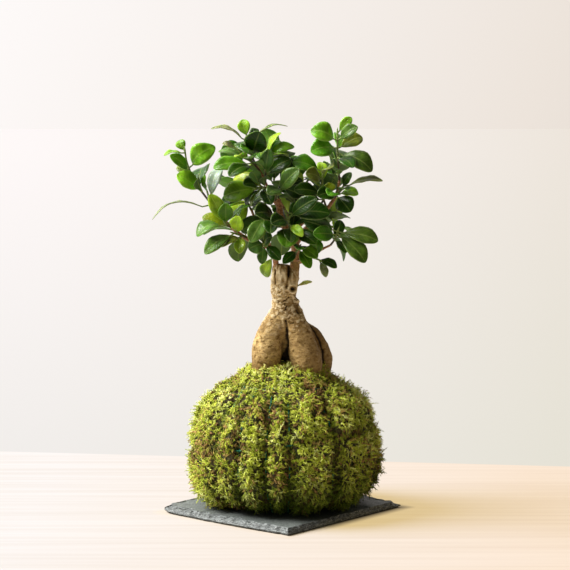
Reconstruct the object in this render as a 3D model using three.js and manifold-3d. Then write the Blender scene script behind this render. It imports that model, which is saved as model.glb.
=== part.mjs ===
// Kokedama: a grafted ficus standing in a moss ball on a slate tile.
// Millimetres, +Z up, +X to the viewer's right, the viewer on the -Y side.
// The origin is the centre of the slate's underside.

import * as THREE from 'three';
import { mergeVertices } from 'three/addons/utils/BufferGeometryUtils.js';
import Module from 'manifold-3d';

const wasm = await Module();
wasm.setup();

// Driving dimensions

const GAP = 0.3; // clearance between pieces that touch

const TILE_SIDE = 150;
const TILE_THICK = 5;
const TILE_TURN = 48.1; // degrees from square-on to one corner towards the viewer
const TILE_STEPS = 12; // outline points along each edge
const TILE_LAYERS = [0, 1.7, 3.3, TILE_THICK]; // heights where the split edge steps in
const TILE_CORNER = 1.5; // how much the corners are worn back
const TILE_FLAKE = 5; // how far the lowest layer sticks out at the right-hand corner

const BALL_X = 3; // the ball sits a little right of the tile's middle
const BALL_RADIUS = 85.5;
const BALL_WAIST = 55; // height of the widest ring
const BALL_TOP = 130;
const BALL_FLOOR = 7.4;
const BALL_BELLY = 52; // depth from the waist to the pole below
const BALL_SHOULDER = 2.15; // power of the outline's curve above the waist, where 2 is an ellipse
const BALL_FLANK = 2.6; // and below it
const CORE_ANGLES = [-74, 80]; // from the lowest to the highest ring of the soil
const CORE_COLUMNS = 16;
const CORE_ROWS = 7;
const MOSS_DEPTH = 10;
const MOSS_MOUND = 4; // how far the moss climbs round the foot of the roots
const MOSS_MOUND_RING = [22, 50]; // half widths between which the mound falls away
const MOSS_ANGLES = [-66, 86];
const MOSS_ROWS = 17;
const MOSS_COLUMN = 7.5; // degrees between the columns of the moss's relief
const MOSS_TUFT = 2.2; // relief of the tufts
const GROOVE_DEPTH = 5.5;
const GROOVE_WIDTH = 7;
const GROOVE_RING = [44, 66]; // half widths between which the grooves deepen
const BELT_PULL = 0.6; // depth of the belt's groove as a share of the strands'
const COLLAR_PULL = 0.4;

const THREAD_WIDTH = 1.2;
const THREAD_LIFT = 1.9; // from the base of a groove to the thread's middle
const BELT_LIFT = 3.4;
const THREAD_ROOM = 1.6; // more lift where the ball curves away fastest
const THREAD_ROOM_ANGLES = [35, 58];
const THREAD_SIDES = 3;
const THREAD_ROWS = 8; // steps of a strand from top to bottom
const THREAD_TOP = 56; // where the turn of thread round the roots lies, in degrees up the ball's outline
const THREAD_BOTTOM = -66;
const THREAD_UNDER = [0.2, 0.5, 0.8]; // points of a strand's run below the ball
const COLLAR_STEPS = 20;
const BELT_STEPS = 28;
const BELT_HEIGHT = 68;
const BELT_TILT = 12;
const BELT_TURN = 70; // degrees, where the belt is highest

const ROOT_SIDES = 10;
const LIMB_SIDES = 5;
const TWIG_SIDES = 4;
const TWIG_RADIUS = 0.95;
const PETIOLE_WIDTH = 1.5;
const PETIOLE_SHARE = 0.16; // of the length from twig to leaf tip
const BLADE_THICK = 0.7;
const BLADE_FULLEST = 1.12; // over 1 moves the widest place towards the tip
const BLADE_ROUND = 0.72; // under 1 fills out the blade's shoulders
const BLADE_BOW = 0.1; // rise of the arched blade, as a share of its length
const BLADE_FOLD = 0.18; // rise of the edges over the midrib
const WIDE_ROWS = [0.14, 0.48, 0.82]; // where the blade of a wide leaf has its cross rows
const SMALL_ROWS = [0.26, 0.72]; // and that of a small or hidden one
const WIDE_FROM = 12.5;
const LEAF_OUTWARD = 0.45; // how far upper faces turn away from the trunk

// Strands of thread: the azimuth where each loop comes up and where it goes down,
// in degrees from the front (-Y) towards +X
const STRANDS = [
  [-47, 141],
  [-31, 166],
  [-12, -168],
  [3, -143],
  [33, -115],
  [72, -82],
];

// Swollen roots and stem: x, y, z and half widths in x and y of each section
const ROOTS = {
  stem: [
    [-0.2, 0, 219, 7, 7],
    [0.6, 0, 214.5, 8.3, 8],
    [3.4, 0, 208, 12.7, 9.5],
    [2.7, 0, 200.5, 12, 10.5],
    [2, 0, 193, 11, 10.5],
    [3, 0, 187, 10.9, 10.5],
    [4.2, 0, 181, 12.2, 11.5],
    [4.6, 0, 175.5, 14.8, 13],
    [4.4, 0.5, 169, 17.6, 15],
    [4, 2, 160, 20, 17],
    [5, 5, 148, 17, 14],
    [6, 7, 128, 11, 10],
  ],
  left: [
    [0, -2, 184, 6, 6],
    [-4.3, -4.5, 171, 10.2, 10],
    [-8.5, -7, 161, 12.5, 12],
    [-11.4, -8, 150, 13.7, 13.5],
    [-12.8, -9, 140, 13.4, 14],
    [-13.3, -9, 130, 12.6, 13.5],
    [-13, -9, 117, 10.5, 11],
    [-13, -8, 102, 6.5, 7],
    [-13, -8, 90, 2.5, 3],
  ],
  right: [
    [7.5, -2, 183, 6, 6.5],
    [12.6, -6.5, 168.5, 10.2, 10.5],
    [16, -9, 158, 11.8, 12.5],
    [18.2, -10, 149, 13.5, 14],
    [20.8, -11, 141, 14.2, 15.5],
    [22, -11, 133, 14.4, 15.5],
    [22.5, -11, 121, 12.5, 13],
    [22.5, -10, 105, 8, 8.5],
    [22, -10, 88, 2.5, 3],
  ],
  back_right: [
    [15, 6, 174, 6.5, 7],
    [20.5, 10, 165, 8.5, 9],
    [25, 13, 156.5, 10, 10.5],
    [29.7, 15, 149, 10.3, 11.5],
    [33, 16, 141.5, 10.4, 12],
    [35, 16, 133, 10.4, 12],
    [35.5, 16, 121, 9, 10],
    [35, 15, 106, 5.5, 6],
    [34, 14, 92, 2.2, 2.5],
  ],
  back: [
    [2, 6, 176, 8, 7],
    [-1, 13, 164, 10.5, 10],
    [-5, 18, 152, 12, 12],
    [-7, 21, 140, 12.2, 12.5],
    [-8, 22, 129, 11.6, 12],
    [-8, 21, 114, 8.5, 9],
    [-8, 20, 96, 3, 3],
  ],
};

// Knots and wrinkle scars on the stem: x, y, z and radius
const KNOTS = [
  [9.4, -8.2, 197.6, 4],
  [12.6, -2, 186, 3.6],
  [-6, 6, 205, 4],
];

// Woody limbs: each fork has the radii at its ends and the points that it passes
const LIMBS = {
  limb_left: [
    {
      radii: [2.6, 1.2],
      path: [
        [-4.6, -1, 211],
        [-5, -3, 222],
        [-10, -7, 234],
        [-22, -11, 238],
        [-37, -13, 247],
        [-45, -13, 254],
        [-56, -12, 265],
        [-63, -10, 275],
      ],
    },
    {
      radii: [1.7, 1.1],
      path: [
        [-9, -6, 233],
        [-14, 6, 243],
        [-22, 19, 254],
        [-27, 27, 266],
      ],
    },
  ],
  limb_right: [
    {
      radii: [4.7, 2.5],
      path: [
        [10.5, 0, 204],
        [11.8, 0, 218],
        [12, -1, 236],
        [6, -3, 247],
        [0.5, -4, 258],
        [-3, -4, 277],
      ],
    },
    {
      radii: [1.6, 1],
      path: [
        [-1.5, -4, 268],
        [-9, -1, 279],
        [-13, 0, 289],
        [-17, 1, 298],
        [-22, 2, 306],
      ],
    },
    {
      radii: [2.8, 1.2],
      path: [
        [12, -1, 236],
        [21, 2, 249],
        [33, 3, 260],
        [42, 3, 270],
        [48, 1, 280],
        [51, 0, 293],
      ],
    },
    {
      radii: [1.8, 1],
      path: [
        [11.6, -2, 221],
        [19, -7, 222],
        [28, -11, 227],
        [35, -13, 233],
        [43, -14, 237],
      ],
    },
    {
      radii: [2.4, 1.2],
      path: [
        [12, 0, 234],
        [10, 11, 246],
        [6, 24, 259],
        [-1, 34, 272],
      ],
    },
    {
      radii: [1.9, 1.1],
      path: [
        [10, 11, 246],
        [20, 23, 255],
        [32, 33, 265],
      ],
    },
  ],
};

// Leafy sprays. The twig starts inside its limb. Each leaf has its place along the twig (0 to 1),
// its tip, its width, how far its upper face turns from up and outward towards the viewer in degrees,
// and, where it isn't the usual one, its bow. round is how many more leaves stand round the twig by rule,
// and behind how many stand only on the far side of it.
const SPRAYS = [
  {
    name: 'spray_left_tip',
    limb: 'limb_left',
    twig: [[-63, -10, 275], [-70, -8, 284], [-76, -7, 293], [-80, -6, 302], [-83, -5, 311], [-84, -5, 318]],
    leaves: [
      [0.98, -102, -12, 316, 9, 20],
      [1, -90, -1, 328, 9, 60],
      [0.7, -58, -14, 323, 18, 75, 0.42],
      [0.62, -97, -16, 317, 11, 50],
      [0.5, -91, 4, 306, 10, 30],
      [0.22, -90, -18, 299, 16, 50],
      [0.2, -73, -16, 304, 12, 40],
    ],
    behind: 1,
  },
  {
    name: 'spray_left_side',
    limb: 'limb_left',
    twig: [[-59, -11, 269], [-62, -15, 275], [-64, -15, 282]],
    leaves: [
      [0.6, -53, -13, 306, 13, 40],
      [0.95, -67, -10, 298, 7, 20],
      [0.3, -112, -24, 261, 9, 0, 0.2],
    ],
  },
  {
    name: 'spray_left_low',
    limb: 'limb_left',
    twig: [[-44, -13, 253], [-47, -18, 254], [-49, -23, 257]],
    leaves: [
      [0.4, -59, 3, 277, 13, 40],
      [0.3, -66, -4, 261, 11, 50],
      [0.7, -48, -30, 274, 13, 85],
      [0.7, -73, -32, 247, 16, 30, 0.22],
    ],
  },
  {
    name: 'spray_left_under',
    limb: 'limb_left',
    twig: [[-30, -12, 243], [-36, -19, 246], [-41, -23, 248]],
    leaves: [
      [0.4, -54, -33, 238, 13, 40],
      [1, -69, -26, 230, 13, 60, 0.16],
      [0.5, -36, -32, 232, 10, 60],
      [0.8, -37, -24, 266, 13, 60],
    ],
  },
  {
    name: 'spray_left_inner',
    limb: 'limb_left',
    twig: [[-14, -8, 235], [-15, -15, 237], [-14, -22, 240]],
    leaves: [
      [0.25, -17, 8, 207, 11, 60],
      [0.6, -17, -26, 222, 9, 60],
      [0.9, -28, -28, 235, 15, 70],
      [0.8, -9, -34, 246, 14, 60],
      [0.7, -1, -30, 226, 10, 70],
    ],
  },
  {
    name: 'spray_top_left',
    limb: 'limb_right',
    twig: [[-22, 2, 306], [-26, 1, 314], [-28, 0, 322], [-30, 0, 330]],
    leaves: [
      [0.9, -61, -5, 339, 8, 20, 0.16],
      [1, -34, 0, 346, 11, 60],
      [0.95, -21, -5, 337, 8, 50],
      [0.35, -19, -14, 335, 20, 85],
      [0.4, -39, -13, 328, 12, 60],
      [0.85, 5, 4, 341, 8, 15, 0.16],
    ],
    behind: 1,
  },
  {
    name: 'spray_top_outer',
    limb: 'limb_right',
    twig: [[-19, 1.5, 301], [-24, -4, 307], [-31, -5, 313], [-40, -4, 321]],
    leaves: [
      [0.5, -55, 4, 319, 9, 20],
      [1, -51, -5, 326, 6, 40],
      [0.35, -59, -14, 305, 15, 50],
      [0.3, -49, -22, 297, 15, 50],
    ],
  },
  {
    name: 'spray_mid_left',
    limb: 'limb_right',
    twig: [[-12, 0, 286], [-17, -6, 287], [-22, -11, 286]],
    leaves: [
      [0.6, -48, -20, 280, 20, 60],
      [0.3, -42, 12, 295, 14, 40],
      [0.8, -54, -8, 272, 12, 60],
      [0.7, -32, -24, 291, 13, 50],
    ],
  },
  {
    name: 'spray_front_left',
    limb: 'limb_right',
    twig: [[0, -4, 260], [-7, -12, 262], [-13, -19, 263]],
    leaves: [
      [0.4, -26, -32, 268, 19, 60],
      [0.8, -34, -25, 250, 15, 60],
      [1, -26, -38, 242, 15, 70],
      [0.6, -9, -38, 252, 14, 70],
    ],
  },
  {
    name: 'spray_front',
    limb: 'limb_right',
    twig: [[8, -2, 243], [8, -11, 250], [6, -17, 258], [4, -19, 265]],
    leaves: [
      [0.55, 4, -40, 238, 19, 85],
      [0.65, 18, -36, 247, 9, 60],
      [1, 42, -27, 266, 18, 55],
      [0.4, 30, -32, 240, 13, 55],
      [0.8, -10, -36, 258, 15, 60],
      [0.85, 30, -34, 279, 14, 60],
    ],
  },
  {
    name: 'spray_front_low',
    limb: 'limb_right',
    twig: [[12, -2, 226], [14, -11, 232], [16, -17, 236]],
    leaves: [
      [0.8, 25, -30, 219, 10, 70],
      [1, 31, -31, 228, 11, 60],
      [0.6, 2, -28, 223, 9, 70],
      [0.9, 14, -40, 237, 13, 60],
    ],
  },
  {
    name: 'spray_centre_top',
    limb: 'limb_right',
    twig: [[-14.5, 0.5, 292], [-14, -6, 299], [-14, -7, 307], [-13, -6, 316]],
    leaves: [
      [0.35, -11, -16, 320, 12, 80],
      [0.6, -10, -3, 330, 12, 40],
      [1, 11, -10, 323, 9, 50, 0.2],
      [0.9, -1, 2, 328, 9, 40],
      [0.3, 8, -12, 312, 14, 55],
    ],
    behind: 2,
  },
  {
    name: 'spray_centre',
    limb: 'limb_right',
    twig: [[-5, -3, 274], [-4, -9, 281], [1, -12, 287]],
    leaves: [
      [0.6, 16, -22, 305, 15, 50],
      [0.5, 13, -26, 291, 14, 50],
      [0.9, -11, -30, 283, 13, 50],
      [0.8, 10, -2, 312, 13, 30],
      [1, 17, -14, 280, 14, 50],
      [0.3, -14, -14, 300, 12, 40],
    ],
  },
  {
    name: 'spray_right_inner',
    limb: 'limb_right',
    twig: [[40, 3, 268], [37, -4, 277], [36, -6, 288], [36, -5, 301]],
    leaves: [
      [1, 10, -8, 310, 17, 50],
      [0.8, 22, -20, 300, 14, 60],
      [0.6, 20, 8, 296, 13, 30],
      [0.7, 35, 10, 309, 10, 50],
      [0.45, 10, -14, 286, 14, 50],
      [0.3, 12, -10, 277, 13, 45],
      [0.9, 44, -22, 306, 12, 50],
    ],
    behind: 1,
  },
  {
    name: 'spray_right_top',
    limb: 'limb_right',
    twig: [[51, 0, 292], [50, -1, 305], [49, -1, 317], [49, -1, 327], [49, -1, 334]],
    leaves: [
      [0.85, 26, -10, 337, 18, 65, 0.26],
      [0.7, 26, -16, 319, 18, 60, 0.18],
      [1, 61, -2, 348, 9, 50],
      [0.85, 67, -8, 341, 12, 55],
      [0.68, 71, 4, 331, 14, 50],
      [0.5, 62, -24, 306, 13, 60],
      [0.6, 79, -14, 302, 18, 60, 0.2],
      [0.28, 27, -2, 318, 8, 5, 0.24],
    ],
    behind: 2,
  },
  {
    name: 'spray_right_side',
    limb: 'limb_right',
    twig: [[46, 2, 277], [50, -5, 282], [54, -8, 288]],
    leaves: [
      [1, 88, -14, 294, 10, 25],
      [0.9, 60, -18, 300, 8, 40],
      [0.6, 62, -20, 290, 10, 50],
      [0.5, 67, -10, 282, 12, 40],
      [0.3, 60, -18, 267, 17, 80],
      [0.4, 32, -22, 281, 14, 50],
    ],
  },
  {
    name: 'spray_right_low',
    limb: 'limb_right',
    twig: [[43, -14, 237], [47, -16, 243], [49, -17, 249]],
    leaves: [
      [1, 84, -24, 242, 16, 55],
      [0.9, 73, -32, 224, 17, 55],
      [1, 20, -24, 259, 15, 80, 0.2],
      [0.8, 26, -32, 249, 14, 75],
      [0.5, 56, -28, 232, 9, 50],
      [0.6, 60, -2, 243, 10, 30],
    ],
  },
  {
    name: 'spray_right_under',
    limb: 'limb_right',
    twig: [[27, -11, 226], [31, -16, 225], [34, -19, 224]],
    leaves: [
      [0.6, 48, -26, 219, 9, 50],
      [0.9, 38, -30, 213, 7, 60],
      [0.4, 30, -26, 238, 12, 60],
    ],
  },
  {
    name: 'spray_back_left',
    limb: 'limb_left',
    twig: [[-27, 27, 265], [-31, 34, 273], [-35, 39, 282], [-38, 42, 291]],
    leaves: [
      [0.15, -10, 22, 282, 16, 50],
      [0.25, -36, 14, 284, 15, 50],
    ],
    round: 7,
  },
  {
    name: 'spray_back_left_low',
    limb: 'limb_left',
    twig: [[-18, 13, 249], [-27, 21, 247], [-36, 28, 247]],
    leaves: [],
    round: 5,
  },
  {
    name: 'spray_back_top',
    limb: 'limb_right',
    twig: [[-1, 34, 271], [-5, 39, 282], [-7, 42, 294], [-6, 43, 306]],
    leaves: [],
    round: 7,
  },
  {
    name: 'spray_back_middle',
    limb: 'limb_right',
    twig: [[8, 18, 253], [13, 27, 264], [16, 33, 277], [17, 36, 290]],
    leaves: [],
    round: 7,
  },
  {
    name: 'spray_back_low',
    limb: 'limb_right',
    twig: [[9, 14, 249], [3, 26, 248], [0, 38, 250]],
    leaves: [
      [0.25, -9, 14, 270, 16, 50],
      [0.5, -18, 22, 258, 16, 50],
    ],
    round: 5,
  },
  {
    name: 'spray_back_right',
    limb: 'limb_right',
    twig: [[32, 33, 264], [38, 39, 274], [43, 42, 285], [46, 43, 297]],
    leaves: [],
    round: 7,
  },
  {
    name: 'spray_back_right_low',
    limb: 'limb_right',
    twig: [[22, 25, 256], [32, 29, 251], [43, 33, 250]],
    leaves: [],
    round: 5,
  },
];

// Leaves placed by rule stand round their twig at the golden angle
const ROUND_TURN = 137.5;
const ROUND_LEAN = 58; // degrees from the twig's own direction
const ROUND_LENGTH = [30, 37];
const ROUND_WIDTH = 0.5;
const ROUND_JITTER = 40; // degrees
const ROUND_FROM = 0.3; // share of the twig where the first one stands
const ROUND_BACK = 0.35; // how far they turn behind the listed leaves
const END_LEAN = 0.35; // the leaf at the twig's end leans this share as much

// A leaf that would touch another is swung nearer to or further from the viewer
const SWINGS = [0, -5, 5, -10, 10, -15, 15, -21, 21, -28, 28];
const CLEAR_OTHER = 2.3; // to leaves of other sprays
const CLEAR_OWN = 1.3; // to leaves of the same spray
const CLEAR_WOOD = 1.1; // to limbs, twigs and the stem
const OWN_FROM = 0.4; // share of the blade beyond which leaves of one spray keep apart
const OWN_WOOD = 6; // reach round a leaf's start where its own twig may touch it
const PROBE_ROWS = 7;
const WOOD_STEP = 2.5;
const STEM_PROBE = { path: [[1, 0, 217], [3, 0, 206], [3, 0, 195], [4, 0, 182]], radii: [7, 12] };

const SLATE_SEED = 11;
const MOSS_SEED = 23;
const LEAF_SEED = 5;

const SLIVER = 0.2; // faces thinner than this are merged away after a cut or join

const THREAD_FLOOR = TILE_THICK + GAP + THREAD_WIDTH / 2;

const VIEWER = new THREE.Vector3(0, -1, 0);
const UP = new THREE.Vector3(0, 0, 1);

// Small helpers

function vec(point) {
  return new THREE.Vector3(point[0], point[1], point[2]);
}

function radians(degrees) {
  return (degrees * Math.PI) / 180;
}

function seeded(seed) {
  let state = seed >>> 0;
  return () => {
    state = (state + 0x6d2b79f5) >>> 0;
    let mixed = state;
    mixed = Math.imul(mixed ^ (mixed >>> 15), mixed | 1);
    mixed ^= mixed + Math.imul(mixed ^ (mixed >>> 7), mixed | 61);
    return ((mixed ^ (mixed >>> 14)) >>> 0) / 4294967296;
  };
}

function curveOf(path) {
  return new THREE.CatmullRomCurve3(path.map(vec), false, 'centripetal');
}

function geometryOf(points, triangles) {
  const geometry = new THREE.BufferGeometry();
  const flat = points.flatMap((point) => [point.x, point.y, point.z]);
  geometry.setAttribute('position', new THREE.BufferAttribute(new Float32Array(flat), 3));
  geometry.setIndex(triangles);
  return geometry;
}

// A closed skin over rings of equal point count, with a flat fan at each end.
// The rings run anticlockwise when seen from the last ring's side.
function loft(rings) {
  const count = rings[0].length;
  const points = rings.flat();
  const triangles = [];
  for (let row = 0; row + 1 < rings.length; row += 1) {
    for (let i = 0; i < count; i += 1) {
      const a = row * count + i;
      const b = row * count + ((i + 1) % count);
      triangles.push(a, b, b + count, a, b + count, a + count);
    }
  }
  const last = (rings.length - 1) * count;
  for (let i = 1; i + 1 < count; i += 1) {
    triangles.push(0, i + 1, i, last, last + i, last + i + 1);
  }
  return geometryOf(points, triangles);
}

function solidOf(geometry) {
  const bare = geometry.clone();
  bare.deleteAttribute('normal');
  bare.deleteAttribute('uv');
  const merged = mergeVertices(bare, 1e-4);
  const build = (triVerts) => {
    const vertProperties = new Float32Array(merged.attributes.position.array);
    return new wasm.Manifold(new wasm.Mesh({ numProp: 3, vertProperties, triVerts }));
  };
  const solid = build(new Uint32Array(merged.index.array));
  if (solid.volume() > 0) return solid;
  // The faces point inwards, so each triangle is turned over
  return build(new Uint32Array(merged.index.array).reverse());
}

function geometryFrom(solid) {
  const mesh = solid.getMesh();
  const geometry = new THREE.BufferGeometry();
  geometry.setAttribute('position', new THREE.BufferAttribute(mesh.vertProperties, 3));
  geometry.setIndex(new THREE.BufferAttribute(mesh.triVerts, 1));
  return geometry;
}

function joined(solids) {
  return solids.reduce((sum, solid) => sum.add(solid));
}

// The largest body of a solid, without loose scraps or sealed hollows
function largestBody(solid) {
  const bodies = solid.simplify(SLIVER).decompose();
  return bodies.reduce((best, body) => (body.volume() > best.volume() ? body : best));
}

// A tapered round limb along a curve
function limbSolid(path, radii, grow) {
  const curve = curveOf(path);
  const steps = path.length + 2;
  const frames = curve.computeFrenetFrames(steps, false);
  const rings = [];
  for (let step = 0; step <= steps; step += 1) {
    const share = step / steps;
    const centre = curve.getPointAt(share);
    const radius = radii[0] + (radii[1] - radii[0]) * share + grow;
    const ring = [];
    for (let i = 0; i < LIMB_SIDES; i += 1) {
      const angle = (2 * Math.PI * i) / LIMB_SIDES;
      ring.push(
        centre
          .clone()
          .addScaledVector(frames.normals[step], radius * Math.cos(angle))
          .addScaledVector(frames.binormals[step], radius * Math.sin(angle)),
      );
    }
    rings.push(ring);
  }
  return solidOf(loft(rings));
}

// An even tube along a curve
function tubeGeometry(curve, radius, sides, steps) {
  const section = new THREE.Shape();
  for (let i = 0; i < sides; i += 1) {
    const angle = (2 * Math.PI * (i + 0.5)) / sides;
    const x = radius * Math.cos(angle);
    const y = radius * Math.sin(angle);
    if (i === 0) section.moveTo(x, y);
    else section.lineTo(x, y);
  }
  section.closePath();
  return new THREE.ExtrudeGeometry(section, { steps, extrudePath: curve });
}

// Slate tile: a split flag whose edges are chipped back unevenly

function slateGeometry() {
  const random = seeded(SLATE_SEED);
  const half = TILE_SIDE / 2;
  const turn = radians(TILE_TURN);
  // Inset of the top face's edge and roughness of the break along the four edges, from the front-right one
  const edges = [
    { inset: 2.4, rough: 1.4, ledge: 0.4 },
    { inset: 4, rough: 2, ledge: 1 },
    { inset: 3, rough: 2, ledge: 1 },
    { inset: 6, rough: 2.6, ledge: 2 },
  ];
  const rings = TILE_LAYERS.map(() => []);
  edges.forEach((edge, side) => {
    for (let step = 0; step < TILE_STEPS; step += 1) {
      const along = -half + (TILE_SIDE * step) / TILE_STEPS;
      const corner = step === 0 ? TILE_CORNER : 0;
      const chip = edge.rough * random();
      const flake = side === 1 && step < 3 ? TILE_FLAKE : 0;
      const insets = [
        0.8 + corner,
        chip * 0.3 + corner,
        edge.ledge + flake + chip * 0.8 + corner,
        edge.inset * (0.65 + 0.7 * random()) + flake + corner,
      ];
      TILE_LAYERS.forEach((height, row) => {
        const limit = half - insets[row];
        const x = half - insets[row];
        const y = THREE.MathUtils.clamp(along, -limit, limit);
        const angle = turn - Math.PI / 2 + (side * Math.PI) / 2;
        rings[row].push(
          new THREE.Vector3(
            x * Math.cos(angle) - y * Math.sin(angle),
            x * Math.sin(angle) + y * Math.cos(angle),
            height,
          ),
        );
      });
    }
  });
  return loft(rings);
}

// Moss ball

// Half width and height of the ball's outline, from the pole below (-90) to the pole above (90 degrees)
function ballOutline(angle, inset = 0) {
  const above = angle >= 0;
  const power = 2 / (above ? BALL_SHOULDER : BALL_FLANK);
  const reach = (above ? BALL_TOP - BALL_WAIST : BALL_BELLY) - inset;
  const across = Math.pow(Math.cos(angle), power) * (BALL_RADIUS - inset);
  const height = Math.pow(Math.abs(Math.sin(angle)), power) * reach * Math.sign(angle);
  const mound = above ? MOSS_MOUND * (1 - THREE.MathUtils.smoothstep(across, ...MOSS_MOUND_RING)) : 0;
  return { across, height: BALL_WAIST + height + mound };
}

const COLLAR_RADIUS = ballOutline(radians(THREAD_TOP)).across;

function beltHeight(azimuth) {
  return BELT_HEIGHT + BELT_TILT * Math.cos(azimuth - radians(BELT_TURN));
}

// How deep the thread has pulled the moss in at a place on the ball
function grooveDepth(azimuth, across, height) {
  let depth = 0;
  STRANDS.flat().forEach((strand) => {
    const apart = Math.atan2(Math.sin(azimuth - radians(strand)), Math.cos(azimuth - radians(strand)));
    const distance = apart * across;
    depth = Math.max(depth, GROOVE_DEPTH * Math.exp(-((distance / GROOVE_WIDTH) ** 2)));
  });
  const fromBelt = height - beltHeight(azimuth);
  depth = Math.max(depth, BELT_PULL * GROOVE_DEPTH * Math.exp(-((fromBelt / GROOVE_WIDTH) ** 2)));
  depth *= THREE.MathUtils.smoothstep(across, ...GROOVE_RING);
  const fromCollar = height > BALL_WAIST ? across - COLLAR_RADIUS : Infinity;
  return Math.max(depth, COLLAR_PULL * GROOVE_DEPTH * Math.exp(-((fromCollar / GROOVE_WIDTH) ** 2)));
}

// A point on the ball, set in from its outline
function ballPoint(azimuth, angle, inset) {
  const outline = ballOutline(angle);
  const normal = new THREE.Vector3(
    Math.cos(angle) * Math.sin(azimuth),
    -Math.cos(angle) * Math.cos(azimuth),
    Math.sin(angle),
  );
  const point = new THREE.Vector3(
    BALL_X + outline.across * Math.sin(azimuth),
    -outline.across * Math.cos(azimuth),
    outline.height,
  );
  return point.addScaledVector(normal, -inset);
}

function threadPoint(azimuth, angle, lift) {
  const outline = ballOutline(angle);
  const [from, to] = THREAD_ROOM_ANGLES.map(radians);
  const room = THREAD_ROOM * THREE.MathUtils.smoothstep(Math.abs(angle), from, to);
  const inset = grooveDepth(azimuth, outline.across, outline.height) - lift - room;
  const point = ballPoint(azimuth, angle, inset);
  point.z = Math.max(point.z, THREAD_FLOOR);
  return point;
}

// Azimuths of the moss's columns: one under each strand, and even ones between
function mossColumns() {
  const strands = STRANDS.flat().sort((a, b) => a - b);
  return strands.flatMap((strand, i) => {
    const next = i + 1 < strands.length ? strands[i + 1] : strands[0] + 360;
    const count = Math.round((next - strand) / MOSS_COLUMN);
    return Array.from({ length: count }, (_, k) => radians(strand + ((next - strand) * k) / count));
  });
}

function mossOuter() {
  const random = seeded(MOSS_SEED);
  const [lowest, highest] = MOSS_ANGLES;
  const columns = mossColumns();
  const rings = [];
  for (let row = 0; row <= MOSS_ROWS; row += 1) {
    const angle = radians(lowest + ((highest - lowest) * row) / MOSS_ROWS);
    const outline = ballOutline(angle);
    rings.push(
      columns.map((azimuth) => {
        const groove = grooveDepth(azimuth, outline.across, outline.height);
        const tuft = MOSS_TUFT * (1 - groove / GROOVE_DEPTH) * (random() - 0.35);
        const point = ballPoint(azimuth, angle, groove - tuft);
        point.z = row === 0 ? BALL_FLOOR : Math.max(point.z, BALL_FLOOR);
        return point;
      }),
    );
  }
  return solidOf(loft(rings));
}

// The ball of soil, a little fluted, with its skin set in from the moss
function ballCore(inset) {
  const [lowest, highest] = CORE_ANGLES;
  const rings = [];
  for (let row = 0; row <= CORE_ROWS; row += 1) {
    const angle = radians(lowest + ((highest - lowest) * row) / CORE_ROWS);
    const outline = ballOutline(angle, inset);
    const ring = [];
    for (let i = 0; i < CORE_COLUMNS; i += 1) {
      const azimuth = (2 * Math.PI * i) / CORE_COLUMNS;
      const across = outline.across * (1 - 0.03 * Math.cos(5 * azimuth));
      ring.push(
        new THREE.Vector3(BALL_X + across * Math.sin(azimuth), -across * Math.cos(azimuth), outline.height),
      );
    }
    rings.push(ring);
  }
  return solidOf(loft(rings));
}

// Thread: loops that come up one side and go down the other, one turn round the roots, and a slanting belt

function threadLoop([rise, fall]) {
  const strand = (azimuth) => {
    const points = [];
    for (let row = 0; row <= THREAD_ROWS; row += 1) {
      const angle = THREAD_TOP + ((THREAD_BOTTOM - THREAD_TOP) * row) / THREAD_ROWS;
      points.push(threadPoint(radians(azimuth), radians(angle), THREAD_LIFT));
    }
    points[THREAD_ROWS].z = THREAD_FLOOR;
    return points;
  };
  const down = strand(rise);
  const up = strand(fall).reverse();
  const below = THREAD_UNDER.map((share) => down[THREAD_ROWS].clone().lerp(up[0], share));
  const curve = new THREE.CatmullRomCurve3([...down, ...below, ...up], false, 'centripetal');
  return solidOf(tubeGeometry(curve, THREAD_WIDTH / 2, THREAD_SIDES, 2 * THREAD_ROWS + 8));
}

function threadRing(pointAt, steps) {
  const route = [];
  for (let step = 0; step < steps; step += 1) {
    route.push(pointAt((2 * Math.PI * step) / steps));
  }
  const curve = new THREE.CatmullRomCurve3(route, true, 'centripetal');
  return solidOf(tubeGeometry(curve, THREAD_WIDTH / 2, THREAD_SIDES, steps));
}

function outlineAngleAt(height) {
  const above = height >= BALL_WAIST;
  const reach = above ? BALL_TOP - BALL_WAIST : BALL_BELLY;
  const power = (above ? BALL_SHOULDER : BALL_FLANK) / 2;
  const share = Math.min(Math.abs(height - BALL_WAIST) / reach, 1);
  return Math.asin(Math.pow(share, power)) * (above ? 1 : -1);
}

function threadSolid() {
  const collar = threadRing((azimuth) => {
    return threadPoint(azimuth, radians(THREAD_TOP), THREAD_LIFT);
  }, COLLAR_STEPS);
  const belt = threadRing((azimuth) => {
    return threadPoint(azimuth, outlineAngleAt(beltHeight(azimuth)), BELT_LIFT);
  }, BELT_STEPS);
  return joined([...STRANDS.map(threadLoop), collar, belt]);
}

// Trunk

function rootSolid(sections, grow) {
  const ordered = [...sections].sort((a, b) => a[2] - b[2]);
  const rings = ordered.map(([x, y, z, wide, deep], row) => {
    const end = row === 0 ? -grow : row === ordered.length - 1 ? grow : 0;
    const ring = [];
    for (let i = 0; i < ROOT_SIDES; i += 1) {
      const angle = (2 * Math.PI * i) / ROOT_SIDES;
      const point = new THREE.Vector3(
        x + (wide + grow) * Math.cos(angle),
        y + (deep + grow) * Math.sin(angle),
        z + end,
      );
      ring.push(point);
    }
    return ring;
  });
  return solidOf(loft(rings));
}

function trunkSolid(grow = 0) {
  const solids = Object.values(ROOTS).map((sections) => rootSolid(sections, grow));
  KNOTS.forEach(([x, y, z, radius]) => {
    const knot = new THREE.SphereGeometry(radius + grow, 6, 4);
    knot.scale(1, 0.7, 0.8);
    knot.translate(x, y, z);
    solids.push(solidOf(knot));
  });
  return joined(solids);
}

// Leaves

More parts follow.
